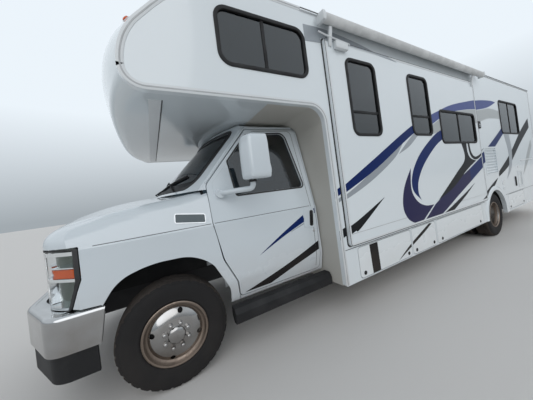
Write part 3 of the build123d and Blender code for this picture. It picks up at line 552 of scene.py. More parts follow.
# Stripes as a colour and points x from the front axle and z; a third value marks a corner
STRIPES = [
    ("grey_stripe", [(-1.4, 1.125), (-1.7, 1.25), (-2.05, 1.42), (-2.52, 1.64, 1), (-2.35, 1.49),
     (-2.0, 1.31), (-1.7, 1.19), (-1.4, 1.095)]),
    ("grey_stripe", [(-2.42, 1.52), (-2.62, 1.66), (-2.8, 1.77, 1), (-2.86, 1.73, 1), (-2.64, 1.6),
     (-2.42, 1.52)]),
    ("silver", [(-3.2, 1.86), (-3.72, 2.05), (-4.3, 2.15), (-4.91, 2.2), (-5.45, 2.27), (-5.92, 2.25, 1),
     (-5.95, 2.1, 1), (-5.35, 2.08), (-4.87, 1.99), (-4.2, 1.88), (-3.6, 1.82), (-3.18, 1.75)]),
    ("blue", [(-1.4, 1.21), (-1.96, 1.475), (-2.73, 1.84), (-3.2, 2.0, 1), (-3.2, 1.87, 1), (-2.78, 1.76),
     (-2.0, 1.385), (-1.4, 1.15)]),
    ("haze", [(-3.2, 2.0), (-3.43, 2.07), (-3.85, 2.19), (-4.4, 2.29), (-5.0, 2.38), (-5.55, 2.42),
     (-5.8, 2.41, 1), (-5.4, 2.29), (-4.9, 2.21), (-4.3, 2.155), (-3.72, 2.06), (-3.2, 1.87)]),
    ("blue", [(-3.55, 1.84), (-3.3, 1.76), (-3.0, 1.6), (-2.8, 1.46), (-2.66, 1.31), (-2.6, 1.17),
     (-2.63, 1.06), (-2.76, 0.955, 1), (-2.715, 1.05), (-2.75, 1.19), (-2.89, 1.35), (-3.08, 1.49),
     (-3.3, 1.62), (-3.55, 1.72)]),
    ("indigo", [(-2.615, 1.345), (-2.46, 1.17), (-2.385, 1.02), (-2.375, 0.89), (-2.44, 0.78),
     (-2.56, 0.715), (-2.7, 0.69, 1), (-3.03, 0.862, 1), (-2.85, 0.875), (-2.7, 0.93), (-2.6, 1.03),
     (-2.575, 1.15), (-2.615, 1.345)]),
    ("indigo", [(-3.07, 0.862), (-3.41, 0.985), (-3.8, 1.115), (-4.2, 1.24, 1), (-4.2, 1.055, 1),
     (-3.7, 0.885), (-3.12, 0.692), (-2.76, 0.692, 1), (-3.07, 0.862)]),
    ("blue", [(-4.2, 1.24), (-4.5, 1.34), (-4.8, 1.445), (-5.05, 1.53), (-5.5, 1.72), (-6.03, 1.96, 1),
     (-6.03, 1.83, 1), (-5.5, 1.575), (-5.1, 1.37), (-4.8, 1.265), (-4.2, 1.055)]),
    ("black_stripe", [(-4.02, 1.66), (-4.08, 1.4), (-3.74, 1.2), (-3.17, 0.905, 1), (-3.6, 1.015),
     (-4.09, 1.225), (-4.47, 1.355, 1), (-4.28, 1.4), (-4.2, 1.5), (-4.2, 1.66)]),
    ("black_stripe", [(-4.3, 1.66), (-4.33, 1.5), (-4.44, 1.42), (-4.62, 1.44), (-4.95, 1.55, 1),
     (-4.62, 1.4), (-4.42, 1.375), (-4.28, 1.46), (-4.24, 1.66)]),
    ("black_stripe", [(-3.22, 0.7), (-3.6, 0.8), (-4.05, 0.93), (-4.3, 1.01, 1), (-3.95, 0.86),
     (-3.5, 0.7, 1), (-3.22, 0.7)]),
    ("black_stripe", [(-1.4, 0.85), (-1.62, 0.91), (-2.06, 1.075, 1), (-1.64, 0.83), (-1.57, 0.82),
     (-1.4, 0.765)]),
    ("black_stripe", [(-5.5, 1.1), (-6.24, 1.42), (-7.05, 1.87), (-7.75, 2.2, 1), (-7.75, 1.99, 1),
     (-6.95, 1.62), (-6.16, 1.22), (-5.5, 1.02)]),
    ("black_stripe", [(-4.55, 0.72), (-5.14, 0.92), (-5.42, 1.0, 1), (-5.24, 0.89), (-4.88, 0.74)]),
    ("grey_stripe", [(-6.02, 1.83), (-6.15, 1.5), (-6.1, 1.2), (-5.9, 0.95, 1), (-6.22, 1.15),
     (-6.36, 1.5), (-6.3, 1.83)]),
    ("silver", [(-6.9, 0.95), (-7.3, 1.35), (-7.75, 1.7, 1), (-7.75, 1.55, 1), (-7.4, 1.25), (-6.9, 0.95)]),
    ("grey_stripe", [(-1.29, 2.735), (-1.6, 2.745), (-2.1, 2.7), (-2.62, 2.6, 1), (-2.1, 2.62),
     (-1.65, 2.615), (-1.29, 2.585)]),
]
SKIRT_STRIPES = [
    ("black_stripe", [(-1.775, 0.64), (-1.9, 0.64, 1), (-1.905, 0.352, 1), (-1.785, 0.352)]),
    ("black_stripe", [(-2.92, 0.64), (-2.72, 0.57), (-2.45, 0.47), (-2.22, 0.36, 1), (-2.5, 0.455),
     (-2.78, 0.55), (-2.98, 0.63)]),
]
BAGGAGE = {
    "left_front": (-2.495, -1.6, 0.345), "left_middle": (-3.06, -2.515, 0.345),
    "left_centre": (-4.56, -3.085, 0.345), "left_rear": (-6.76, -5.82, 0.366),
    "right_rear": (-7.2, -5.82, 0.366),
}
BAGGAGE_TOP = 0.652
ENTRY = (-2.33, -1.69, 0.43, 2.34)
VENT = (-5.5, -4.95, 1.08, 1.57)
STRIPED_WALL = (-8.02, -1.28, 0.665, 2.88)


def stripe_outline(points):
    """A stripe's outline, smooth between its corners."""
    edges = [[]]
    for point in points:
        edges[-1].append(point[:2])
        if len(point) > 2:
            edges.append([point[:2]])
    outline = []
    for edge in edges:
        for u, v in smooth_line(edge):
            if not outline or math.dist(outline[-1], (ax(u), v)) > 0.002:
                outline.append((ax(u), v))
    if math.dist(outline[0], outline[-1]) < 0.002:
        outline.pop()
    return outline


def stripe_set(name, rows, wall, keep, holes=()):
    """Every stripe on one panel: trimmed to the panel's edges and round its windows and other holes."""
    face, body, side, windows = wall
    cut = [cutter(rounded(*inset(from_axle(row), -0.004), row[4]), THROUGH, side) for row in windows]
    cut += [cutter(rect(*hole), THROUGH, side) for hole in holes]
    for i, (colour, points) in enumerate(rows):
        outline = stripe_outline(points)
        if max(outline)[0] < keep[0] or min(outline)[0] > keep[1]:
            continue
        depth = (face - 0.0005, face + PROUD + 0.00012 * i)
        piece = prism(f"{name}_{i}", outline, depth, colour, body, side=side)
        panel = cutter(rect(*keep), THROUGH, side)
        carve(piece, [panel], "INTERSECT")
        if cut and len(piece.data.polygons):
            carve(piece, cut)
        discard(panel)
        if not len(piece.data.polygons):
            discard(piece)
    discard(*cut)


def build_stripes():
    wall = from_axle(STRIPED_WALL)
    entry = from_axle(ENTRY)
    stripe_set("stripe_slide", STRIPES, WALLS["slide"], inset(SLIDE, 0.003))
    stripe_set("stripe_wall_left", STRIPES, WALLS["left"], wall, (inset(SLIDE, -0.01), from_axle(VENT)))
    stripe_set("stripe_wall_right", STRIPES, WALLS["right"], wall, (entry,))
    edge = 0.008
    stripe_set("stripe_entry", STRIPES, WALLS["entry"], inset(entry, edge))
    for name in ("left_front", "left_middle"):
        lid = inset(from_axle((*BAGGAGE[name], BAGGAGE_TOP)), edge)
        stripe_set(f"stripe_{name}", SKIRT_STRIPES, (COACH_Y, f"baggage_door_{name}", 1, []), lid)


# Tyres and wheel covers, from half of a tyre's outline with its grooves, as radius and distance outwards
TYRE_HALF = [
    (0.372, 0.0), (0.372, 0.012), (0.362, 0.015), (0.362, 0.021), (0.3725, 0.024), (0.3722, 0.046),
    (0.362, 0.049), (0.362, 0.056), (0.3712, 0.059), (0.369, 0.08), (0.364, 0.091),
    (0.352, 0.099), (0.346, 0.0985), (0.342, 0.102), (0.318, 0.107), (0.29, 0.108), (0.262, 0.1055),
    (0.245, 0.101), (0.238, 0.102), (0.231, 0.098), (0.226, 0.09), (0.215, 0.084), (0.207, 0.078),
]
TYRE_SEGMENTS = 160
TREAD_DUST_R = 0.3605
RIBS = 0.062
RIB_R = 0.355
RIB_WAVE = 0.0035
SHOULDER = (0.065, 0.095)
NOTCH = 0.008


def build_tyre(name, x, y, body, side):
    """A tyre whose ribs wave and whose shoulders are notched, with dust on its tread."""
    profile = [(r, -t) for r, t in reversed(TYRE_HALF[1:])] + TYRE_HALF
    verts = []
    for i, a in enumerate(angles(TYRE_SEGMENTS)):
        for r, t in profile:
            shift = 0.0
            radius = r
            if abs(t) < RIBS and r > RIB_R:
                shift = RIB_WAVE * (1 if i % 4 < 2 else -1)
            if SHOULDER[0] < abs(t) < SHOULDER[1] and i % 5 == 0:
                radius = r - NOTCH
            verts.append((x + radius * math.cos(a), y + side * (t + shift), AXLE_Z + radius * math.sin(a)))
    obj = add(name, verts, quads(TYRE_SEGMENTS, len(profile), along=True), "tyre", body, smooth=40)
    obj.data.materials.append(MATS["tread"])
    for face in obj.data.polygons:
        across, _, up = face.center
        if math.hypot(across - x, up - AXLE_Z) > TREAD_DUST_R:
            face.material_index = 1
    return obj


BARREL = [(0.221, -0.097), (0.221, -0.088), (0.205, -0.084), (0.196, -0.03), (0.196, 0.055), (0.205, 0.084),
          (0.221, 0.088), (0.222, 0.096), (0.216, 0.1), (0.207, 0.098)]
RIM = BARREL + [(0.201, 0.088), (0.196, 0.07), (0.19, 0.05), (0.189, -0.03)]
FRONT_RIM = BARREL + [(0.203, 0.09), (0.198, 0.08), (0.19, 0.072), (0.179, 0.069), (0.176, 0.062),
                      (0.189, 0.052), (0.189, -0.03)]
FRONT_COVER = [(0.1815, 0.071), (0.176, 0.0765), (0.166, 0.084), (0.15, 0.094),
               (0.132, 0.101), (0.116, 0.105), (0.1, 0.108), (0.066, 0.11), (0.06, 0.112), (0.057, 0.118),
               (0.05, 0.124), (0.03, 0.129), (0.001, 0.13), (0.001, 0.12), (0.05, 0.104), (0.115, 0.094),
               (0.165, 0.074), (0.177, 0.068)]
REAR_COVER = [(0.2005, 0.0895), (0.199, 0.08), (0.194, 0.04), (0.187, -0.02), (0.172, -0.06),
              (0.15, -0.092), (0.128, -0.112), (0.112, -0.118), (0.068, -0.118), (0.062, -0.112),
              (0.06, -0.02), (0.052, -0.006), (0.03, 0.0), (0.001, 0.002), (0.001, -0.01), (0.05, -0.02),
              (0.055, -0.126), (0.115, -0.126), (0.165, -0.085), (0.184, -0.03), (0.19, 0.04)]
INNER_BARREL = BARREL + [(0.19, 0.06), (0.12, 0.131), (0.06, 0.131), (0.06, 0.12), (0.12, 0.118),
                         (0.184, 0.05), (0.187, -0.03)]
BRAKE = [(0.17, 0.02), (0.17, 0.03), (0.032, 0.05), (0.032, 0.02)]
INNER_WHEEL_Y = 0.852
HAND_HOLE_R = 0.0175
# Wheels: x, y, body, tyre, tyre and rim nodes, rim, cover, nut depth, holes (circle, depths, count, angle)
WHEELS = {
    "front": (FRONT_AXLE, 0.87, "front_wheel", "tyre_front", "front_tyre", "front_rim", FRONT_RIM,
              FRONT_COVER, 0.106, (0.158, (0.03, 0.12), 4, 15)),
    "rear": (REAR_AXLE, 1.118, "rear_wheels", "tyre_rear_outer", "rear_tyres", "rear_rims", RIM, REAR_COVER,
             -0.118, (0.152, (-0.125, -0.055), 8, 0)),
}


def lug_nuts(name, x, y, depth, body, side):
    """Eight chromed lug nut caps on the cover's bolt circle, as one piece."""
    bm = bmesh.new()
    count = 8
    circle = 0.0825
    height = 0.026
    for i in range(count):
        turn = 2 * math.pi * (i + 0.5) / count
        out = y + side * (depth + height / 2)
        where = Matrix.Translation((x + circle * math.cos(turn), out, AXLE_Z + circle * math.sin(turn)))
        lay = where @ Matrix.Rotation(-side * math.pi / 2, 4, "X")
        bmesh.ops.create_cone(
            bm, cap_ends=True, segments=6, radius1=0.0155, radius2=0.0145, depth=height, matrix=lay
        )
        dome = where @ Matrix.Translation((0, side * height / 2, 0)) @ Matrix.Diagonal((1, 0.5, 1, 1))
        bmesh.ops.create_uvsphere(bm, u_segments=16, v_segments=8, radius=0.0135, matrix=dome)
    verts = [v.co.copy() for v in bm.verts]
    faces = [[v.index for v in f.verts] for f in bm.faces]
    bm.free()
    return add(name, verts, faces, "chrome", body, smooth=EDGE_ANGLE)


def hand_holes(obj, x, y, side, radius, reach, count, start):
    """Round hand holes through a cover's cone."""
    cutters = []
    for turn in angles(count):
        turn += math.radians(start)
        u = x + radius * math.cos(turn)
        v = AXLE_Z + radius * math.sin(turn)
        outline = [(u + HAND_HOLE_R * math.cos(a), v + HAND_HOLE_R * math.sin(a)) for a in angles(20)]
        cutters.append(cutter(outline, [y + side * d for d in reach]))
    carve(obj, cutters)
    discard(*cutters)


def build_wheels():
    for hand, side in SIDES:
        for axle, row in WHEELS.items():
            x, out, body, tyre, tyre_node, rim_node, rim, profile, nuts, holes = row
            y = side * out
            body = f"{body}_{hand}"
            at = (x, y, AXLE_Z)
            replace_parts(build_tyre(f"{tyre}_{hand}", x, y, body, side), f"{tyre_node}_{hand}")
            cover = lathe(f"cover_{axle}_{hand}", profile, at, "chrome", body, side)
            hand_holes(cover, x, y, side, *holes)
            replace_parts(cover, f"{rim_node}_{hand}")
            lathe(f"rim_{axle}_{hand}", rim, at, "rim", body, side)
            lug_nuts(f"lugs_{axle}_{hand}", x, y, nuts, body, side)
        front = (FRONT_AXLE, side * WHEELS["front"][1], AXLE_Z)
        lathe(f"brake_front_{hand}", BRAKE, front, "iron", f"front_wheel_{hand}", side)
        y = side * INNER_WHEEL_Y
        build_tyre(f"tyre_rear_inner_{hand}", REAR_AXLE, y, f"rear_wheels_{hand}", side)
        lathe(f"rim_inner_{hand}", INNER_BARREL, (REAR_AXLE, y, AXLE_Z), "steel", f"rear_wheels_{hand}", side)


# Laying pieces on the curved bodywork
def surface_of(*names):
    """A search tree over the faces of CAD nodes."""
    verts = []
    polys = []
    for name in names:
        mesh = NODES[name].data
        base = len(verts)
        verts += [v.co.copy() for v in mesh.vertices]
        polys += [[base + i for i in p.vertices] for p in mesh.polygons]
    return BVHTree.FromPolygons(verts, polys)


REACH = 2.5
DRAPE_SINK = 0.001


def beside(tree, side, start=REACH):
    """Looks square onto a flank: from x and z to a point on it and the way it faces."""
    return lambda u, v: tree.ray_cast(Vector((u, side * start, v)), Vector((0, -side, 0)))[:2]


def ahead_of(tree):
    """Looks back onto the front: from y and z to a point on it and the way it faces."""
    return lambda u, v: tree.ray_cast(Vector((FRONT_AXLE + REACH, u, v)), Vector((-1, 0, 0)))[:2]


def filleted(corners, n=6, closed=True):
    """Corners as (u, v) or (u, v, radius), with the rounded ones turned into arcs."""
    out = []
    count = len(corners)
    for i, corner in enumerate(corners):
        p = Vector(corner[:2])
        inside = closed or 0 < i < count - 1
        if len(corner) < 3 or not inside:
            out.append(tuple(p))
            continue
        a = (Vector(corners[i - 1][:2]) - p).normalized()
        b = (Vector(corners[(i + 1) % count][:2]) - p).normalized()
        half = math.acos(max(-1.0, min(1.0, a.dot(b)))) / 2
        radius = corner[2]
        start = p + a * (radius / math.tan(half))
        end = p + b * (radius / math.tan(half))
        centre = p + (a + b).normalized() * (radius / math.sin(half))
        r0 = start - centre
        sweep = r0.angle_signed(end - centre)
        for k in range(n + 1):
            spoke = r0.copy()
            spoke.rotate(Matrix.Rotation(-sweep * k / n, 2))
            out.append(tuple(centre + spoke))
    return out


def dense(points, step=0.03, closed=False):
    """The same line with points no further apart than a step."""
    out = []
    last = len(points) if closed else len(points) - 1
    for i in range(last):
        a = Vector(points[i])
        b = Vector(points[(i + 1) % len(points)])
        parts = max(1, math.ceil((b - a).length / step))
        out += [tuple(a.lerp(b, k / parts)) for k in range(parts)]
    if not closed:
        out.append(tuple(points[-1]))
    return out


def sides_of(points, width, closed, shift=0.0):
    """The two edges of a strip along a flat line, moved sideways by a shift."""
    left = []
    right = []
    count = len(points)
    for i, point in enumerate(points):
        before = Vector(points[i - 1] if closed or i else points[i])
        after = Vector(points[(i + 1) % count] if closed or i < count - 1 else points[i])
        run = (after - before).normalized()
        across = Vector((-run.y, run.x))
        left.append(tuple(Vector(point) + across * (shift + width / 2)))
        right.append(tuple(Vector(point) + across * (shift - width / 2)))
    return left, right


def strip(name, points, width, find, mat, body="chassis", lift=0.002, sink=0.003, closed=False, shift=0.0,
          step=0.03):
    """A moulding, seal or line laid along a path on the bodywork."""
    path = dense(points, step, closed)
    edges = sides_of(path, width, closed, shift)
    verts = []
    for i, point in enumerate(path):
        (a, na), (b, nb) = (find(*edge[i]) for edge in edges)
        if a is None or b is None:
            raise RuntimeError(f"{name} misses the bodywork at {point}")
        verts += [a + na * lift, b + nb * lift, b - nb * sink, a - na * sink]
    return add(name, verts, bar_faces(len(path), closed), mat, body, smooth=40)


def drape(name, outline, find, mat, body="chassis", lift=0.0012, step=0.03):
    """A flat outline laid over the bodywork as a thin sheet with closed edges."""
    bm = bmesh.new()
    bm.faces.new([bm.verts.new((u, v, 0)) for u, v in outline])
    bmesh.ops.triangulate(bm, faces=bm.faces[:])
    for axis in (0, 1):
        low = min(v.co[axis] for v in bm.verts)
        high = max(v.co[axis] for v in bm.verts)
        cuts = int((high - low) / step)
        for k in range(1, cuts + 1):
            spot = [0, 0, 0]
            facing = [0, 0, 0]
            spot[axis] = low + (high - low) * k / (cuts + 1)
            facing[axis] = 1
            geom = bm.verts[:] + bm.edges[:] + bm.faces[:]
            bmesh.ops.bisect_plane(bm, geom=geom, plane_co=spot, plane_no=facing)
    bm.verts.index_update()
    tops = []
    lows = []
    for v in bm.verts:
        hit, facing = find(v.co.x, v.co.y)
        if hit is None:
            raise RuntimeError(f"{name} misses the bodywork at {tuple(v.co)}")
        tops.append(hit + facing * lift)
        lows.append(hit - facing * DRAPE_SINK)
    count = len(tops)
    faces = []
    for f in bm.faces:
        ring_ids = [v.index for v in f.verts]
        faces.append(ring_ids)
        faces.append([i + count for i in reversed(ring_ids)])
    for e in bm.edges:
        if len(e.link_faces) == 1:
            a, b = (v.index for v in e.verts)
            faces.append((a, b, b + count, a + count))
    bm.free()
    return add(name, tops + lows, faces, mat, body, smooth=50)


# Headlamps
LAMP_Z = (0.7235, 1.0985)
LAMP_KNEE = (0.722, 0.906, 1.1)
LAMP_EDGE = (0.55, 0.48, 0.482)
LAMP_INNER_Y = 0.569
LAMP_CENTRE = (0.3, 0.4)
LAMP_ARC = 0.45
LAMP_STEP = 0.012

# Pieces as name, material, share of the way round from the grille, z and depth, each from and to
LAMP_PIECES = [
    ("lens", "lens", (0.0, 0.999), LAMP_Z, (0.0, 0.0025)),
    ("gasket", "rubber", (0.952, 1.0), LAMP_Z, (-0.0012, 0.012)),
    ("top_seal", "rubber", (0.0, 0.955), (1.09, LAMP_Z[1]), (-0.0012, 0.012)),
    ("back", "smoked", (0.0, 1.0), LAMP_Z, (0.052, 0.056)),
    ("inner_wall", "bright", (0.0, 0.02), LAMP_Z, (0.004, 0.052)),
    ("top_bar", "bright", (0.26, 0.945), (1.058, 1.082), (0.005, 0.052)),
    ("upper_bar", "bright", (0.56, 0.945), (0.979, 0.986), (0.005, 0.052)),
    ("turn_lens", "amber", (0.62, 0.945), (0.922, 0.975), (0.005, 0.04)),
    ("lower_bar", "bright", (0.36, 0.945), (0.898, 0.917), (0.005, 0.052)),
    ("post", "bright", (0.425, 0.445), (0.745, 0.898), (0.008, 0.052)),
    ("front_post", "bright", (0.385, 0.405), (0.918, 1.058), (0.012, 0.052)),
    ("foot", "bright", (0.02, 0.945), (0.726, 0.742), (0.004, 0.052)),
]
BOWL = [(0.06, 0.0), (0.054, -0.016), (0.042, -0.031), (0.024, -0.041), (AXIS, -0.045), (AXIS, -0.048),
        (0.026, -0.044), (0.045, -0.034), (0.058, -0.017), (0.066, -0.001), (0.066, 0.001)]


def lamp_face(tree, side):
    """Points on a headlamp's outer face, from the share of the way round it, the height and the depth."""
    centre_x = ax(LAMP_CENTRE[0])
    centre_y = LAMP_CENTRE[1]

    def at(share, z, depth):
        low = 0 if z < LAMP_KNEE[1] else 1
        t = (z - LAMP_KNEE[low]) / (LAMP_KNEE[low + 1] - LAMP_KNEE[low])
        edge = LAMP_EDGE[low] + t * (LAMP_EDGE[low + 1] - LAMP_EDGE[low])
        corner = 0.01 - min(0.01, LAMP_KNEE[2] - z, z - LAMP_KNEE[0])
        rear = beside(tree, side)(ax(edge + 0.0012 + 0.5 * corner), z)[0]
        front = ahead_of(tree)(side * LAMP_INNER_Y, z)[0]
        first = math.atan2(abs(front.y) - centre_y, front.x - centre_x)
        last = math.atan2(abs(rear.y) - centre_y, rear.x - centre_x)
        angle = first + (last - first) * share
        way = Vector((math.cos(angle), side * math.sin(angle), 0))
        start = Vector((centre_x, side * centre_y, z)) + way * 1.5
        hit, facing, _, _ = tree.ray_cast(start, -way)
        return hit - facing * depth, facing
    return at


def lamp_piece(name, at, shares, heights, depths, mat):
    """A slab of the lamp between two depths below its face."""
    across = max(2, int((shares[1] - shares[0]) * LAMP_ARC / LAMP_STEP))
    upright = max(2, int((heights[1] - heights[0]) / LAMP_STEP))
    verts = []
    for depth in depths:
        for i in range(upright + 1):
            z = heights[0] + (heights[1] - heights[0]) * i / upright
            for k in range(across + 1):
                share = shares[0] + (shares[1] - shares[0]) * k / across
                verts.append(at(share, z, depth)[0])
    row = across + 1
    sheet = row * (upright + 1)
    faces = []
    for i in range(upright):
        for k in range(across):
            a = i * row + k
            faces.append((a, a + 1, a + row + 1, a + row))
            faces.append((sheet + a, sheet + a + row, sheet + a + row + 1, sheet + a + 1))
    rim = [k for k in range(row)] + [i * row + across for i in range(1, upright + 1)]
    rim += [upright * row + k for k in range(across - 1, -1, -1)]
    rim += [i * row for i in range(upright - 1, 0, -1)]
    faces += [(a, b, b + sheet, a + sheet) for a, b in zip(rim, rim[1:] + rim[:1])]
    return add(name, verts, faces, mat, smooth=40)


def build_headlamps():
    tree = surface_of("lamps")
    for hand, side in SIDES:
        at = lamp_face(tree, side)
        for part, mat, shares, heights, depths in LAMP_PIECES:
            piece = lamp_piece(f"headlamp_{part}_{hand}", at, shares, heights, depths, mat)
            if part == "lens":
                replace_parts(piece, "lamps")
        for name, share, z in (("high", 0.19, 0.995), ("low", 0.19, 0.825)):
            spot, facing = at(share, z, 0.005)
            turned(f"reflector_{name}_{hand}", BOWL, spot, facing, "bright")
            bulb = [(AXIS, -0.012), (0.008, -0.016), (0.009, -0.024), (0.009, -0.044), (AXIS, -0.044)]
            turned(f"bulb_{name}_{hand}", bulb, spot, facing, "clear", segments=24)


# Nose trim
GRILLE_Y = 0.525
GRILLE_Z = (0.752, 1.08)
MESH_PITCH = 0.021
MESH_DEPTH = 0.012
MESH_HALF = 0.0014


def build_grille():
    """A black egg-crate behind the grille's three openings, following the bow of the nose."""
    find = ahead_of(surface_of("grille"))
    bar_z = 0.86
    columns = 50
    places = [-GRILLE_Y + 2 * GRILLE_Y * i / columns for i in range(columns + 1)]
    front = [find(y, bar_z)[0].x - 0.022 for y in places]
    rows = []
    for i, y in enumerate(places):
        rows.append(((front[i] - MESH_DEPTH, front[i]), (y - MESH_HALF, y + MESH_HALF), GRILLE_Z))
    levels = int((GRILLE_Z[1] - GRILLE_Z[0]) / MESH_PITCH)
    for k in range(levels + 1):
        z = GRILLE_Z[0] + k * MESH_PITCH
        for i in range(columns):
            x = (front[i] + front[i + 1]) / 2
            rows.append(((x - MESH_DEPTH, x), (places[i], places[i + 1]), (z - MESH_HALF, z + MESH_HALF)))
    boxes("grille_mesh", rows, "plastic")


BADGE = [(-0.086, 1.214, 0.012), (-0.3, 1.182, 0.012), (-0.296, 1.116, 0.01), (-0.08, 1.148, 0.01)]
BELT_LINE = 1.0985


def build_nose_trim():
    for hand, side in SIDES:
        find = beside(surface_of("fenders"), side)
        plate = filleted(stations(BADGE))
        drape(f"fender_plate_{hand}", plate, find, "plate", lift=0.004)
        rim = strip(f"fender_plate_rim_{hand}", plate, 0.0055, find, "chrome", lift=0.006, closed=True)
        soften(rim, 60)
        # A dark line painted as the shadow above the belt crease, not a panel gap.
        line = [(ax(0.405), BELT_LINE - 0.002), (ax(0.1), BELT_LINE), (ax(-0.335), BELT_LINE)]
        strip(f"fender_belt_shadow_line_{hand}", line, 0.0045, find, "seam", lift=0.0006)


# Cab glass seals, mirrors, handles and stripes
CAB_PANE = [(-0.59, 1.3, 0.015), (-0.566, 1.6, 0.015), (-0.79, 1.85, 0.04), (-1.218, 1.872, 0.07),
            (-1.3, 1.3, 0.03)]
SCREEN_PANE = [(-0.8, 1.425, 0.06), (0.8, 1.425, 0.06), (0.716, 1.905, 0.08), (-0.716, 1.905, 0.08)]
DOOR_STRIPES = [
    ("blue", [(-0.7, 0.757), (-0.95, 0.892), (-1.212, 1.022, 1), (-1.222, 0.958, 1), (-0.98, 0.872),
     (-0.7, 0.757)]),
    ("grey_stripe", [(-1.05, 0.893), (-1.212, 0.945, 1), (-1.214, 0.934, 1), (-1.05, 0.888)]),
    ("blue", [(-1.345, 1.062), (-1.366, 1.07, 1), (-1.362, 1.02, 1), (-1.338, 1.01)]),
    ("black_stripe", [(-0.545, 0.486), (-0.8, 0.56), (-1.1, 0.655), (-1.355, 0.742, 1), (-1.35, 0.66, 1),
     (-1.1, 0.588), (-0.79, 0.486, 1), (-0.545, 0.486)]),
]
HANDLE = [(-1.232, 1.078, 0.022), (-1.352, 1.062, 0.022), (-1.33, 0.884, 0.022), (-1.206, 0.902, 0.022)]
GRIP = [(-1.296, 1.058, 0.018), (-1.338, 1.052, 0.018), (-1.318, 0.898, 0.018), (-1.274, 0.904, 0.018)]
KEYHOLE = (-1.318, 0.852)
DOOR_LINE = [(-0.86, 1.893), (-1.31, 1.905, 0.05), (-1.326, 1.12), (-1.322, 0.9)]
DOOR_LINE_LOW = [(-1.322, 0.88), (-1.306, 0.5)]
INSIDE_MIRROR = 1.06
DRIP_RAIL = [(-0.338, 1.426), (-0.793, 1.933, 0.05), (-1.362, 1.953)]
MIRROR_Y = 1.238


def build_cab_doors():
    for hand, side in SIDES:
        body = f"cab_door_{hand}"
        find = beside(surface_of(body), side, INSIDE_MIRROR)
        seal = filleted(stations(CAB_PANE))
        strip(f"window_seal_{hand}", seal, 0.013, find, "rubber", body, closed=True, shift=-0.0075, step=0.02)
        for i, (colour, points) in enumerate(DOOR_STRIPES):
            lift = 0.0008 + 0.0001 * i
            drape(f"door_stripe_{i}_{hand}", stripe_outline(points), find, colour, body, lift=lift)
        line = filleted(stations(DOOR_LINE), closed=False)
        strip(f"door_line_{hand}", line, 0.004, find, "seam", body, lift=0.0005)
        # A dark line painted as the shadow above the belt crease, not a panel gap.
        belt = [(ax(-0.362), BELT_LINE), (ax(-1.31), BELT_LINE)]
        strip(f"door_belt_shadow_line_{hand}", belt, 0.0045, find, "seam", body, lift=0.0006)
        strip(f"door_line_low_{hand}", stations(DOOR_LINE_LOW), 0.004, find, "seam", body, lift=0.0011)
        drape(f"handle_bezel_{hand}", filleted(stations(HANDLE)), find, "paint", body, lift=0.006, step=0.02)
        drape(f"handle_recess_{hand}", filleted(stations(GRIP)), find, "rubber", body, lift=0.0066, step=0.02)
        top, facing = find(ax(-1.314), 1.04)
        low, facing = find(ax(-1.298), 0.918)
        out = facing * 0.017
        tube(f"handle_grip_{hand}", [top + facing * 0.004, top + out, low + out, low + facing * 0.004], 0.008,
             "plastic", body, smooth=True)
        spot, facing = find(ax(KEYHOLE[0]), KEYHOLE[1])
        barrel = [(AXIS, -0.002), (0.013, -0.002), (0.013, 0.003), (0.01, 0.004), (0.009, 0.002),
                  (AXIS, 0.002)]
        turned(f"keyhole_{hand}", barrel, spot, facing, "steel", body, segments=24)
        y = side * MIRROR_Y
        pane = rounded(y - 0.082, y + 0.082, 1.436, 1.688, 0.02)
        prism(f"mirror_glass_{hand}", pane, (ax(-0.7365), ax(-0.7325)), "mirror", body, axis="x")
        rim = rounded(y - 0.0835, y + 0.0835, 1.4345, 1.6895, 0.0215)
        prism(f"mirror_back_{hand}", rim, (ax(-0.7324), ax(-0.7312)), "plastic", body, axis="x")
        collar = [(AXIS, 0.0), (0.03, 0.0), (0.03, 0.012), (0.022, 0.03), (AXIS, 0.03)]
        turned(f"mirror_socket_{hand}", collar, (ax(-0.64), side * 1.192, 1.3815), (0, 0, 1), "rubber", body)
        shell = beside(surface_of("cab_shell", body), side, INSIDE_MIRROR)
        path = dense(filleted(stations(DRIP_RAIL), closed=False))
        rail = [shell(*p)[0] + Vector((0, side * 0.004, 0)) for p in path]
        tube(f"drip_rail_{hand}", rail, 0.0075, "paint")


ARCH_LINE = [(-0.4245, 0.59), (-0.424, 0.592), (-0.3, 0.81, 0.29), (-0.15, 0.898, 0.32),
             (0.11, 0.908, 0.6), (0.3, 0.85, 0.235), (0.386, 0.724)]


def over_gap(find, x, z, reach):
    """Looks a little further from a wheel's centre, and brings the depth found there back to the spot."""
    def near(u, v):
        away = Vector((u - x, v - z)).normalized() * reach
        spot, facing = find(u + away.x, v + away.y)
        return Vector((u, spot.y, v)), facing
    return near


def build_arch_lips():
    """A rolled edge round each front wheel arch."""
    line = filleted(stations(ARCH_LINE), n=12, closed=False)
    for hand, side in SIDES:
        flank = beside(surface_of("fenders", "cab_shell", f"cab_door_{hand}"), side)
        find = over_gap(flank, FRONT_AXLE, AXLE_Z, 0.016)
        strip(f"arch_lip_{hand}", line, 0.018, find, "paint", lift=0.0015, sink=0.004, shift=0.0085,
              step=0.02)


MIRROR_PLAN = [(-0.7305, 1.137, 0.004), (-0.578, 1.137, 0.03), (-0.541, 1.239, 0.1), (-0.578, 1.341, 0.034),
               (-0.7305, 1.341, 0.004)]
MIRROR_LEVELS = [(1.3985, 0.02), (1.402, 0.01), (1.412, 0.002), (1.44, 0.0), (1.54, 0.0), (1.64, 0.002),
                 (1.69, 0.006), (1.712, 0.013), (1.7225, 0.024), (1.7255, 0.04)]


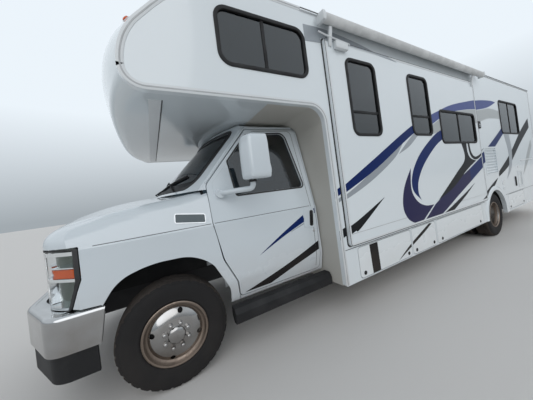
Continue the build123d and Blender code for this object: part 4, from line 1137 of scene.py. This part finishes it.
def build_mirror_covers():
    """The moulded shell over each mirror head, open at the glass."""
    centre = Vector((-0.66, 1.239))
    for hand, side in SIDES:
        verts = []
        for z, drawn in MIRROR_LEVELS:
            corners = []
            for x, y, radius in MIRROR_PLAN:
                across = drawn if y < centre.y else -drawn
                if y == MIRROR_PLAN[2][1]:
                    across = 0.0
                front = drawn if x > centre.x else 0.0
                corners.append((x - front, y + across, radius))
            verts += [(ax(x), side * y, z) for x, y in filleted(corners, 8)]
        faces = capped(len(MIRROR_LEVELS), len(verts) // len(MIRROR_LEVELS))
        add(f"mirror_cover_{hand}", verts, faces, "paint", f"cab_door_{hand}", smooth=40)


def build_screen():
    find = ahead_of(surface_of("cab_shell"))
    path = filleted(SCREEN_PANE)
    strip("screen_seal", path, 0.03, find, "rubber", lift=0.003, closed=True, shift=-0.017, step=0.02)
    pane = ahead_of(surface_of("body_glass"))
    strip("screen_band", path, 0.035, pane, "black_stripe", lift=0.0008, sink=0.0005, closed=True,
          shift=0.02, step=0.02)


# Coach edges, seals and rails
SIDE_EDGE = [(-1.4, 0.345), (-1.4, 1.995, 0.14), (0.145, 1.995, 0.14), (0.145, 2.321, 0.48),
             (-0.367, 2.89, 1.0), (-8.032, 2.89, 0.07), (-8.032, 0.5)]
EDGE_WIDTH = 0.04


def flat_strip(name, points, width, depth, mat, body="chassis", side=1, shift=0.0, bevel=0.0):
    """A flat moulding along a path on a wall, between two depths."""
    lo, hi = sorted(side * d for d in depth)
    verts = []
    for a, b in zip(*sides_of(points, width, False, shift)):
        verts += [(u, w, v) for (u, v), w in ((a, lo), (b, lo), (b, hi), (a, hi))]
    return add(name, verts, bar_faces(len(points), False), mat, body, bevel=bevel)


def build_coach_edges():
    path = filleted(stations(SIDE_EDGE), 10, closed=False)
    rail = stations([(-1.27, 2.868), (-8.0, 2.868)])
    turn = EDGE_WIDTH / 2 + 0.001
    for name, line, width, depth, mat, shift, bevel in (
        ("edge_trim", path, EDGE_WIDTH, (-0.002, 0.0025), "trim", turn, 0.0012),
        ("edge_insert", path, 0.009, (0.002, 0.0036), "insert", turn, 0.0006),
        ("roof_rail", rail, 0.03, (-0.002, 0.014), "alloy", 0.0, 0.003),
        ("roof_rail_slot", rail, 0.008, (0.014, 0.016), "rubber", 0.0, 0.0),
    ):
        depth = [COACH_Y + d for d in depth]
        for hand, side in SIDES:
            flat_strip(f"{name}_{hand}", line, width, depth, mat, side=side, shift=shift, bevel=bevel)


CREASE_Z = 0.8


def build_slide_trim():
    """The slide-out's gasket on the wall, and the trim and seal on the room, with a grey line painted as the
    shade along its crease.
    """
    wall = (COACH_Y, COACH_Y + 0.0035)
    ring("slide_gasket", SLIDE, (-0.012, 0.036), (0.02, 0.012), wall, "rubber", bevel=0.001)
    room = (SLIDE_Y - 0.001, SLIDE_Y + 0.0025)
    ring("slide_edge_trim", SLIDE, (0.001, 0.029), (0.026, 0.006), room, "trim", "slide_room", bevel=0.001)
    seal = (SLIDE_Y + 0.0024, SLIDE_Y + 0.0032)
    ring("slide_edge_seal", SLIDE, (0.001, 0.029), (0.006, 0.024), seal, "rubber", "slide_room")
    # A grey line painted as the shade along the room's crease.
    crease = [(SLIDE[0] + 0.03, CREASE_Z), (SLIDE[1] - 0.03, CREASE_Z)]
    flat_strip("slide_crease_shade_line", crease, 0.005, (SLIDE_Y - 0.001, SLIDE_Y + 0.0014), "insert", "slide_room")


SEAM_Z = 0.6605
SEAM_RUNS = {
    "left": [(-1.442, -4.69), (-5.71, -8.03)],
    "right": [(-1.442, -1.68), (-2.34, -4.69), (-5.71, -8.03)],
}
LATCH = [(AXIS, -0.001), (0.02, -0.001), (0.02, 0.0025), (0.016, 0.005), (AXIS, 0.006)]


def build_skirt():
    """The lines where walls meet skirts, and the latches on the lids."""
    for hand, side in SIDES:
        for i, run in enumerate(SEAM_RUNS[hand]):
            line = [(ax(x), SEAM_Z) for x in run]
            depth = (COACH_Y - 0.001, COACH_Y + 0.0012)
            flat_strip(f"skirt_seam_{i}_{hand}", line, 0.006, depth, "seam", side=side)
    for name, (x0, x1, z0) in BAGGAGE.items():
        side = -1 if name.startswith("right") else 1
        margin = 0.072 if x1 - x0 < 1.0 else 0.12
        for i, x in enumerate((ax(x0) + margin, ax(x1) - margin)):
            spot = (x, side * COACH_Y, z0 + 0.045)
            body = f"baggage_door_{name}"
            turned(f"latch_{name}_{i}", LATCH, spot, (0, side, 0), "plastic", body, segments=28)


# Filler caps as x from the front axle, z and radius
CAPS = [(-5.64, 0.905, 0.05), (-5.66, 0.79, 0.03), (-6.6, 1.145, 0.032)]
# Flat pieces on the walls: side, body, edges and radius, depth from and to off the wall, material, bevel
WALL_PIECES = {
    "utility_hatch": (1, "chassis", (-6.77, -6.55, 0.75, 1.02, 0.02), (-0.001, 0.003), "panel", 0.001),
    "side_grip": (1, "chassis", (-6.385, -6.325, 0.76, 0.955, 0.029), (-0.001, 0.012), "plastic", 0.005),
    "drip_bar": (1, "chassis", (-7.66, -6.82, 1.25, 1.276, 0.012), (-0.001, 0.01), "trim", 0.004),
    "side_lamp_base": (1, "chassis", (-4.915, -4.785, 1.885, 2.005, 0.02), (-0.001, 0.02), "plastic", 0.004),
    "side_lamp_lens": (1, "chassis", (-4.9, -4.8, 1.9, 1.96, 0.012), (0.018, 0.026), "clear", 0.003),
    "entry_latch_plate": (-1, "entry_door", (-2.275, -2.195, 1.19, 1.33, 0.014), (-0.001, 0.01), "plastic",
                          0.003),
    "entry_latch_paddle": (-1, "entry_door", (-2.262, -2.208, 1.215, 1.262, 0.01), (0.008, 0.018), "plastic",
                           0.003),
    "awning_wall_rail": (-1, "chassis", (-5.66, -1.62, 2.792, 2.818, 0.006), (-0.0005, 0.011), "trim", 0.003),
}


def build_wall_fittings():
    for i, (x, z, r) in enumerate(CAPS):
        dish = [(AXIS, -0.001), (r, -0.001), (r, 0.004), (r - 0.006, 0.008), (0.6 * r, 0.009),
                (0.55 * r, 0.006), (AXIS, 0.006)]
        turned(f"filler_cap_{i}", dish, (ax(x), COACH_Y, z), (0, 1, 0), "trim", segments=36)
    hatch = from_axle((-6.8, -6.52, 0.72, 1.05))
    depth = (COACH_Y - 0.001, COACH_Y + 0.006)
    ring("utility_hatch_frame", hatch, (0.0, 0.03), (0.025, 0.02), depth, "trim", bevel=0.002)
    for name, (side, body, row, depth, mat, bevel) in WALL_PIECES.items():
        outline = rounded(*from_axle(row), row[4])
        prism(name, outline, [COACH_Y + d for d in depth], mat, body, side=side, bevel=bevel)


# Rolled awnings: the slide-out's topper and the patio awning
TOPPER_Y = 1.346
TOPPER_Z = 2.772
TOPPER_X = (SLIDE[0] - 0.25, SLIDE[1] + 0.03)
RAIL_Z = 2.862
AWNING_Y = -1.335
AWNING_Z = 2.745
AWNING_X = (ax(-5.6), ax(-1.68))


def awning_roll(name, ends, y, z, radius, swell, lobes, body="chassis"):
    """Cloth on its roller, a little out of round."""
    outline = []
    for a in angles(40):
        r = radius + swell * math.sin(lobes * a)
        outline.append((y + r * math.cos(a), z + r * math.sin(a)))
    return prism(name, outline, ends, "canvas", body, axis="x", smooth=40)


def build_topper():
    """The rolled awning over the slide-out: roll, its short free sheet, end brackets and lock arm."""
    roll = awning_roll("topper_roll", TOPPER_X, TOPPER_Y, TOPPER_Z, 0.0425, 0.0009, 3, "slide_room")
    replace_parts(roll, "slide_topper")
    cap = [(AXIS, 0.0), (0.043, 0.0), (0.043, 0.01), (0.04, 0.014), (0.018, 0.014), (0.016, 0.03),
           (AXIS, 0.03)]
    back = SLIDE_Y + 0.004
    side_plate = [(back, 2.728), (1.384, 2.728), (1.388, 2.76), (1.384, 2.812), (1.33, 2.816),
                  (back, 2.8)]
    for i, (x, way) in enumerate(zip(TOPPER_X, (-1, 1))):
        spot = (x, TOPPER_Y, TOPPER_Z)
        turned(f"topper_cap_{i}", cap, spot, (way, 0, 0), "trim", "slide_room", segments=40)
        depth = (x + way * 0.002, x + way * 0.036)
        plate = prism(f"topper_plate_{i}", side_plate, depth, "trim", "slide_room", axis="x", bevel=0.004)
        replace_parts(plate, "slide_topper")
    arm = [(SLIDE_Y, 2.562), (SLIDE_Y + 0.012, 2.562), (TOPPER_Y - 0.006, 2.725), (TOPPER_Y - 0.022, 2.728),
           (SLIDE_Y, 2.64)]
    for i, x in enumerate((SLIDE[0] + 0.06, SLIDE[1] - 0.06)):
        prism(f"topper_arm_{i}", arm, (x - 0.018, x + 0.018), "trim", "slide_room", axis="x", bevel=0.003)
    build_topper_sheet()
    bar = stations([(-1.405, 1.318, 2.655), (-1.5, 1.318, 2.64), (-1.8, 1.318, 2.618)])
    tube("topper_lock_arm", bar, 0.007, "trim", "slide_room")
    box("topper_lock_box", (ax(-1.755), ax(-1.595)), (1.298, 1.338), (2.54, 2.612), "trim", "slide_room",
        bevel=0.008)


def build_topper_sheet():
    """The cloth between the wall rail and the roll."""
    top = TOPPER_Z + 0.0428
    hem = [(COACH_Y + 0.015, RAIL_Z + 0.002), (COACH_Y + 0.045, RAIL_Z - 0.018),
           (TOPPER_Y - 0.02, top + 0.004), (TOPPER_Y, top)]
    rows = smooth_line(hem, 5)
    columns = 24
    length = TOPPER_X[1] - TOPPER_X[0] - 0.02
    verts = []
    for y, z in rows:
        for k in range(columns + 1):
            x = TOPPER_X[0] + 0.01 + length * k / columns
            verts.append((x, y, z - 0.0016 * (1 + math.sin(2.3 * k))))
    faces = quads(len(rows), columns + 1, around=False)
    sheet = add("topper_sheet", verts, faces, "canvas", None, smooth=EDGE_ANGLE)
    thick = sheet.modifiers.new("cloth", "SOLIDIFY")
    thick.thickness = 0.001
    apply_modifiers(sheet)
    soften(sheet, 60)
    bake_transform(sheet)


# Arm pieces of the patio awning as z, y, width and material
AWNING_ARM = {
    "outer": ((1.16, 2.755), (-1.318, -1.296), 0.044, "alloy"),
    "inner": ((1.33, 2.7), (-1.298, -1.276), 0.032, "alloy"),
    "foot": ((1.152, 1.25), (-1.324, -1.257), 0.048, "plastic"),
    "head": ((2.64, 2.758), (-1.324, -1.257), 0.048, "plastic"),
}


def build_patio_awning():
    roll = awning_roll("awning_roll", AWNING_X, AWNING_Y, AWNING_Z, 0.0515, 0.001, 2)
    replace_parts(roll, "patio_awning")
    cap = [(AXIS, 0.0), (0.054, 0.0), (0.054, 0.012), (0.05, 0.018), (0.02, 0.018), (0.018, 0.034),
           (AXIS, 0.034)]
    for i, (x, way) in enumerate(zip(AWNING_X, (-1, 1))):
        turned(f"awning_cap_{i}", cap, (x, AWNING_Y, AWNING_Z), (way, 0, 0), "plastic", segments=40)
        arm_x = x + way * 0.04
        for part, (z, y, width, mat) in AWNING_ARM.items():
            box(f"awning_arm_{part}_{i}", (arm_x - width / 2, arm_x + width / 2), y, z, mat, bevel=0.004)


# Bumper top and wipers
BUMPER_PLAN = [(0.386, 0.984), (0.655, 0.98, 0.13), (0.866, 0.59, 0.26), (0.88, 0.2, 1.5)]
BUMPER_TOP = 0.722


def bumper_line(inset):
    """The bumper's outline seen from above, drawn in by an inset, from one rear end round to the other."""
    half = [(ax(x) - inset * (i > 0), y - inset, *r) for i, (x, y, *r) in enumerate(BUMPER_PLAN)]
    return filleted(half + [(x, -y, *r) for x, y, *r in reversed(half)], closed=False)


def plate_between(name, outer, inner, z, mat, bevel=0.0):
    """A level plate between two open lines with the same number of points."""
    count = len(outer)
    verts = [(x, y, w) for w in z for line in (outer, inner) for x, y in line]
    faces = []
    for i in range(count - 1):
        j = i + 1
        faces += [(i, j, count + j, count + i), (2 * count + i, 3 * count + i, 3 * count + j, 2 * count + j)]
        faces += [(i, 2 * count + i, 2 * count + j, j)]
        faces += [(count + i, count + j, 3 * count + j, 3 * count + i)]
    for i in (0, count - 1):
        faces.append((i, count + i, 3 * count + i, 2 * count + i))
    return add(name, verts, faces, mat, bevel=bevel)


FILLER_BACK = 0.455


def build_bumper_top():
    """The chromed top of the bumper's front and the black filler under the fenders and lamps."""
    rim = [(x, y) for x, y in bumper_line(0.027) if x > ax(FILLER_BACK)]
    front = [(x, y) for x, y in rim if x > ax(0.6)]
    back = [(x - 0.055, y * 0.955) for x, y in front]
    plate_between("bumper_top", front, back, (BUMPER_TOP - 0.012, BUMPER_TOP - 0.0008), "chrome", bevel=0.002)
    edge = [(x, y * 0.998) for x, y in rim]
    deep = [(max(x - 0.17, ax(FILLER_BACK) - 0.02), y * 0.86) for x, y in rim]
    plate_between("bumper_filler", edge, deep, (BUMPER_TOP - 0.024, BUMPER_TOP - 0.0125), "plastic")


# Wipers as pivot, tip and heel, each y and z
WIPERS = [((0.62, 1.395), (0.1, 1.405), (0.6, 1.52)), ((-0.08, 1.4), (-0.62, 1.415), (-0.1, 1.53))]


def build_wipers():
    find = ahead_of(surface_of("body_glass", "cab_shell"))
    for i, (pivot, tip, heel) in enumerate(WIPERS):
        middle = ((tip[0] + heel[0]) / 2, (tip[1] + heel[1]) / 2 + 0.01)
        blade = [tip, middle, heel]
        strip(f"wiper_blade_{i}", blade, 0.01, find, "rubber", lift=0.012, sink=-0.001)
        strip(f"wiper_back_{i}", blade, 0.016, find, "plastic", lift=0.017, sink=-0.012)
        root, facing = find(*pivot)
        end, end_facing = find(*middle)
        arm = [root + facing * 0.006, root + facing * 0.022, end + end_facing * 0.02]
        tube(f"wiper_arm_{i}", arm, 0.007, "plastic")


# Lamps on the coach
REAR_X = -4.432
TAIL_Y = (1.002, 1.148)
TAIL_PARTS = [("stop", "red", 1.022, 1.14), ("turn", "amber", 0.936, 1.01),
              ("reverse", "clear", 0.804, 0.924)]


def build_tail_lamps():
    for hand, side in SIDES:
        y0, y1 = sorted(side * y for y in TAIL_Y)
        bezel = ring(f"tail_bezel_{hand}", (y0, y1, 0.782, 1.158), (0.0, 0.038), (0.014, 0.026),
                     (REAR_X - 0.021, REAR_X - 0.001), "bright", axis="x", bevel=0.004)
        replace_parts(bezel, "lamps")
        back = rounded(y0 + 0.012, y1 - 0.012, 0.794, 1.146, 0.026)
        prism(f"tail_back_{hand}", back, (REAR_X - 0.006, REAR_X), "bright", axis="x")
        for part, mat, z0, z1 in TAIL_PARTS:
            lens = rounded(y0 + 0.016, y1 - 0.016, z0, z1, 0.018)
            prism(f"tail_{part}_{hand}", lens, (REAR_X - 0.019, REAR_X - 0.0065), mat, axis="x", bevel=0.005)


def marker_lamp(name, at, facing, mat):
    """A low dome lens on a small base."""
    base = [(AXIS, -0.004), (0.03, -0.004), (0.03, 0.004), (0.026, 0.006), (AXIS, 0.006)]
    turned(f"{name}_base", base, at, facing, "trim", segments=28)
    dome = [(AXIS, 0.005), (0.024, 0.005), (0.022, 0.012), (0.015, 0.017), (AXIS, 0.019)]
    turned(f"{name}_lens", dome, at, facing, mat, segments=28)


def build_marker_lamps():
    find = ahead_of(surface_of("front_cap"))
    for i, y in enumerate((-0.92, -0.16, 0.0, 0.16, 0.92)):
        spot, facing = find(y, 2.66)
        marker_lamp(f"cap_marker_{i}", spot, facing, "amber")
    for i, y in enumerate((-1.12, -0.16, 0.0, 0.16, 1.12)):
        marker_lamp(f"rear_marker_{i}", (REAR_X, y, 2.83), (-1, 0, 0), "red")


# Seats
SEAT_PARTS = [
    ("base", [(-0.8, 0.865, 0.05), (-0.8, 0.945, 0.05), (-1.2, 0.925, 0.02), (-1.2, 0.845, 0.02)], 0.245),
    ("back", [(-1.185, 0.9, 0.04), (-1.275, 1.34, 0.05), (-1.35, 1.345, 0.05), (-1.3, 0.86, 0.05)],
     0.225),
    ("headrest", [(-1.285, 1.365, 0.03), (-1.3, 1.49, 0.03), (-1.362, 1.492, 0.03), (-1.352, 1.362, 0.03)],
     0.13),
]
SEAT_Y = 0.495


def seat_cushion(name, outline, middle, half, mat):
    """A padded block: an outline carried across, drawn in and rounded towards both ends."""
    centre = sum((Vector(p) for p in outline), Vector((0, 0))) / len(outline)
    steps = 18
    crown = 0.022
    rings_of = []
    for i in range(steps + 1):
        t = -1 + 2 * i / steps
        edge = 1 - (1 - min(1.0, (1 - abs(t)) / 0.14)) ** 2
        scale = 0.82 + 0.18 * math.sqrt(max(0.0, edge))
        swell = crown * (1 - t * t) * (1 - 0.35 * math.cos(3 * math.pi * t) ** 12)
        line = []
        for p in outline:
            away = Vector(p) - centre
            at = centre + away * scale + away.normalized() * (swell - crown / 2)
            line.append((at.x, middle + half * t, at.y))
        rings_of.append(line)
    verts = [p for line in rings_of for p in line]
    return add(name, verts, capped(steps + 1, len(outline)), mat, smooth=60)


def build_seats():
    for hand, side in SIDES:
        middle = side * SEAT_Y
        for part, corners, half in SEAT_PARTS:
            outline = dense(filleted(stations(corners)), 0.03, True)
            pad = seat_cushion(f"seat_{part}_{hand}", outline, middle, half, "seat")
            if part == "base":
                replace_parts(pad, "cab_seats")
            for i, y in enumerate((middle + half * 0.86, middle - half * 0.86)):
                line = [(x, y, z) for x, z in outline]
                tube(f"seat_piping_{part}_{hand}_{i}", line, 0.004, "dash", cyclic=True)
        pedestal = stations([(-0.84, 0.7), (-0.8, 0.86), (-1.24, 0.84), (-1.2, 0.7)])
        prism(f"seat_pedestal_{hand}", pedestal, (middle - 0.19, middle + 0.19), "plastic", bevel=0.012)
        for i, y in enumerate((middle - 0.05, middle + 0.05)):
            post = [(ax(-1.315), y, 1.32), (ax(-1.322), y, 1.385)]
            tube(f"headrest_post_{hand}_{i}", post, 0.006, "steel")


# Roof gear
def build_roof():
    rows = []
    pitch = 0.048
    for side in (-1, 1):
        for i in range(12):
            x = ax(-4.72) + i * pitch
            rows.append(((x, x + pitch / 2), sorted((side * 0.338, side * 0.3425)), (3.03, 3.12)))
    boxes("roof_unit_slots", rows, "plastic")
    for i, x in enumerate((-2.6, -5.7, -7.1)):
        for part, half, r, z, bevel in (("lid", 0.215, 0.05, (3.019, 3.045), 0.01),
                                        ("crown", 0.15, 0.04, (3.044, 3.055), 0.005)):
            outline = rounded(ax(x) - half, ax(x) + half, -half, half, r)
            prism(f"roof_vent_{part}_{i}", outline, z, "trim", axis="z", bevel=bevel)


# Entry door
def build_entry():
    edges = from_axle(ENTRY)
    depth = (COACH_Y + 0.004, COACH_Y - 0.001)
    ring("entry_frame", edges, (-0.022, 0.082), (0.002, 0.058), depth, "trim", side=-1, bevel=0.002)
    depth = (COACH_Y + 0.003, COACH_Y - 0.001)
    ring("entry_door_edge", edges, (0.01, 0.05), (0.034, 0.026), depth, "alloy", "entry_door", side=-1,
         bevel=0.0015)
    near = -COACH_Y - 0.001
    far = -COACH_Y - 0.05
    grab = stations([(-2.5, near, 1.02), (-2.5, far, 1.03), (-2.5, far, 1.62), (-2.5, near, 1.63)])
    tube("entry_grab_bar", grab, 0.011, "chrome")


# Under the cab-over bunk
def build_bunk_underside():
    tree = surface_of("cabover_panel", "front_cap", "side_wall_left", "side_wall_right")

    def below(u, v):
        return tree.ray_cast(Vector((u, v, 1.0)), Vector((0, 0, 1)))[:2]
    rows = (("band", -0.04, 0.078, "trim", 0.003), ("line", -0.084, 0.008, "seam", 0.0035))
    for name, x, width, mat, lift in rows:
        strip(f"bunk_seam_{name}", [(ax(x), -1.12), (ax(x), 1.12)], width, below, mat, lift=lift)


# Camera, floor and lights
def build_camera():
    """The photograph's camera, solved from the vehicle's known sizes."""
    focal, width, height = 219.33, 533.0, 400.0
    centre = (272.668, 189.629)
    yaw, pitch, roll = 0.5103, 0.007, -0.1302
    spot = Vector((ax(0.0591), 2.7316, 1.2904))
    ahead = Vector((-math.sin(yaw) * math.cos(pitch), -math.cos(yaw) * math.cos(pitch), math.sin(pitch)))
    level = ahead.cross(Vector((0, 0, 1))).normalized()
    upright = level.cross(ahead)
    right = math.cos(roll) * level + math.sin(roll) * upright
    up = -math.sin(roll) * level + math.cos(roll) * upright
    data = bpy.data.cameras.new("photo_camera")
    data.sensor_width = 36.0
    data.lens = data.sensor_width * focal / width
    data.shift_x = (width / 2 - centre[0]) / width
    data.shift_y = (centre[1] - height / 2) / width
    data.clip_end = 200.0
    camera = in_scene("photo_camera", data)
    turn = Matrix((right, up, -ahead)).transposed().to_4x4()
    camera.matrix_world = Matrix.Translation(spot) @ turn
    bpy.context.scene.camera = camera


def build_floor():
    mesh = bpy.data.meshes.new("floor")
    half = 60.0
    mesh.from_pydata([(*p, 0) for p in rect(-half, half, -half, half)], [], [(0, 1, 2, 3)])
    mesh.materials.append(shader("pale_floor", (0.7, 0.68, 0.66), 0.9))
    in_scene("floor", mesh)


def sun(name, towards, strength, angle):
    """A broad soft sun that shines along a direction."""
    data = bpy.data.lights.new(name, "SUN")
    data.energy = strength
    data.angle = math.radians(angle)
    in_scene(name, data).rotation_euler = Vector(towards).to_track_quat("-Z", "Y").to_euler()


def build_light():
    """Pale surroundings for the camera, metal and glass, and a plain level of soft light on the object."""
    world = bpy.data.worlds.new("studio")
    bpy.context.scene.world = world
    world.use_nodes = True
    seen = node(world, "ShaderNodeLightPath", {}, "Is Camera Ray")
    for other in ("Is Glossy Ray", "Is Transmission Ray"):
        ray = node(world, "ShaderNodeLightPath", {}, other)
        seen = node(world, "ShaderNodeMath", {0: seen, 1: ray}, "Value", operation="MAXIMUM")
    level = spread(world, seen, 0.0, 1.0, 0.57, 1.0)
    coords = {"Vector": node(world, "ShaderNodeTexCoord", {}, "Generated")}
    up = node(world, "ShaderNodeSeparateXYZ", coords, "Z")
    sky = blend_colour(world, spread(world, up, 0.0, 0.34, 0.0, 1.0), (0.36, 0.4, 0.43), (0.84, 0.91, 0.97))
    back = world.node_tree.nodes["Background"]
    world.node_tree.links.new(level, back.inputs["Strength"])
    world.node_tree.links.new(sky, back.inputs["Color"])
    sun("key", (-0.35, -0.85, -0.6), 0.95, 60)
    sun("fill", (0.7, 0.55, -0.9), 0.35, 60)


finish_nodes()
build_camera()
build_floor()
build_light()
build_windows()
build_stripes()
build_wheels()
build_headlamps()
build_grille()
build_nose_trim()
build_cab_doors()
build_arch_lips()
build_mirror_covers()
build_screen()
build_coach_edges()
build_slide_trim()
build_skirt()
build_wall_fittings()
build_topper()
build_bumper_top()
build_wipers()
build_tail_lamps()
build_marker_lamps()
build_seats()
build_roof()
build_patio_awning()
build_entry()
build_bunk_underside()

bpy.context.scene.view_settings.view_transform = "Standard"
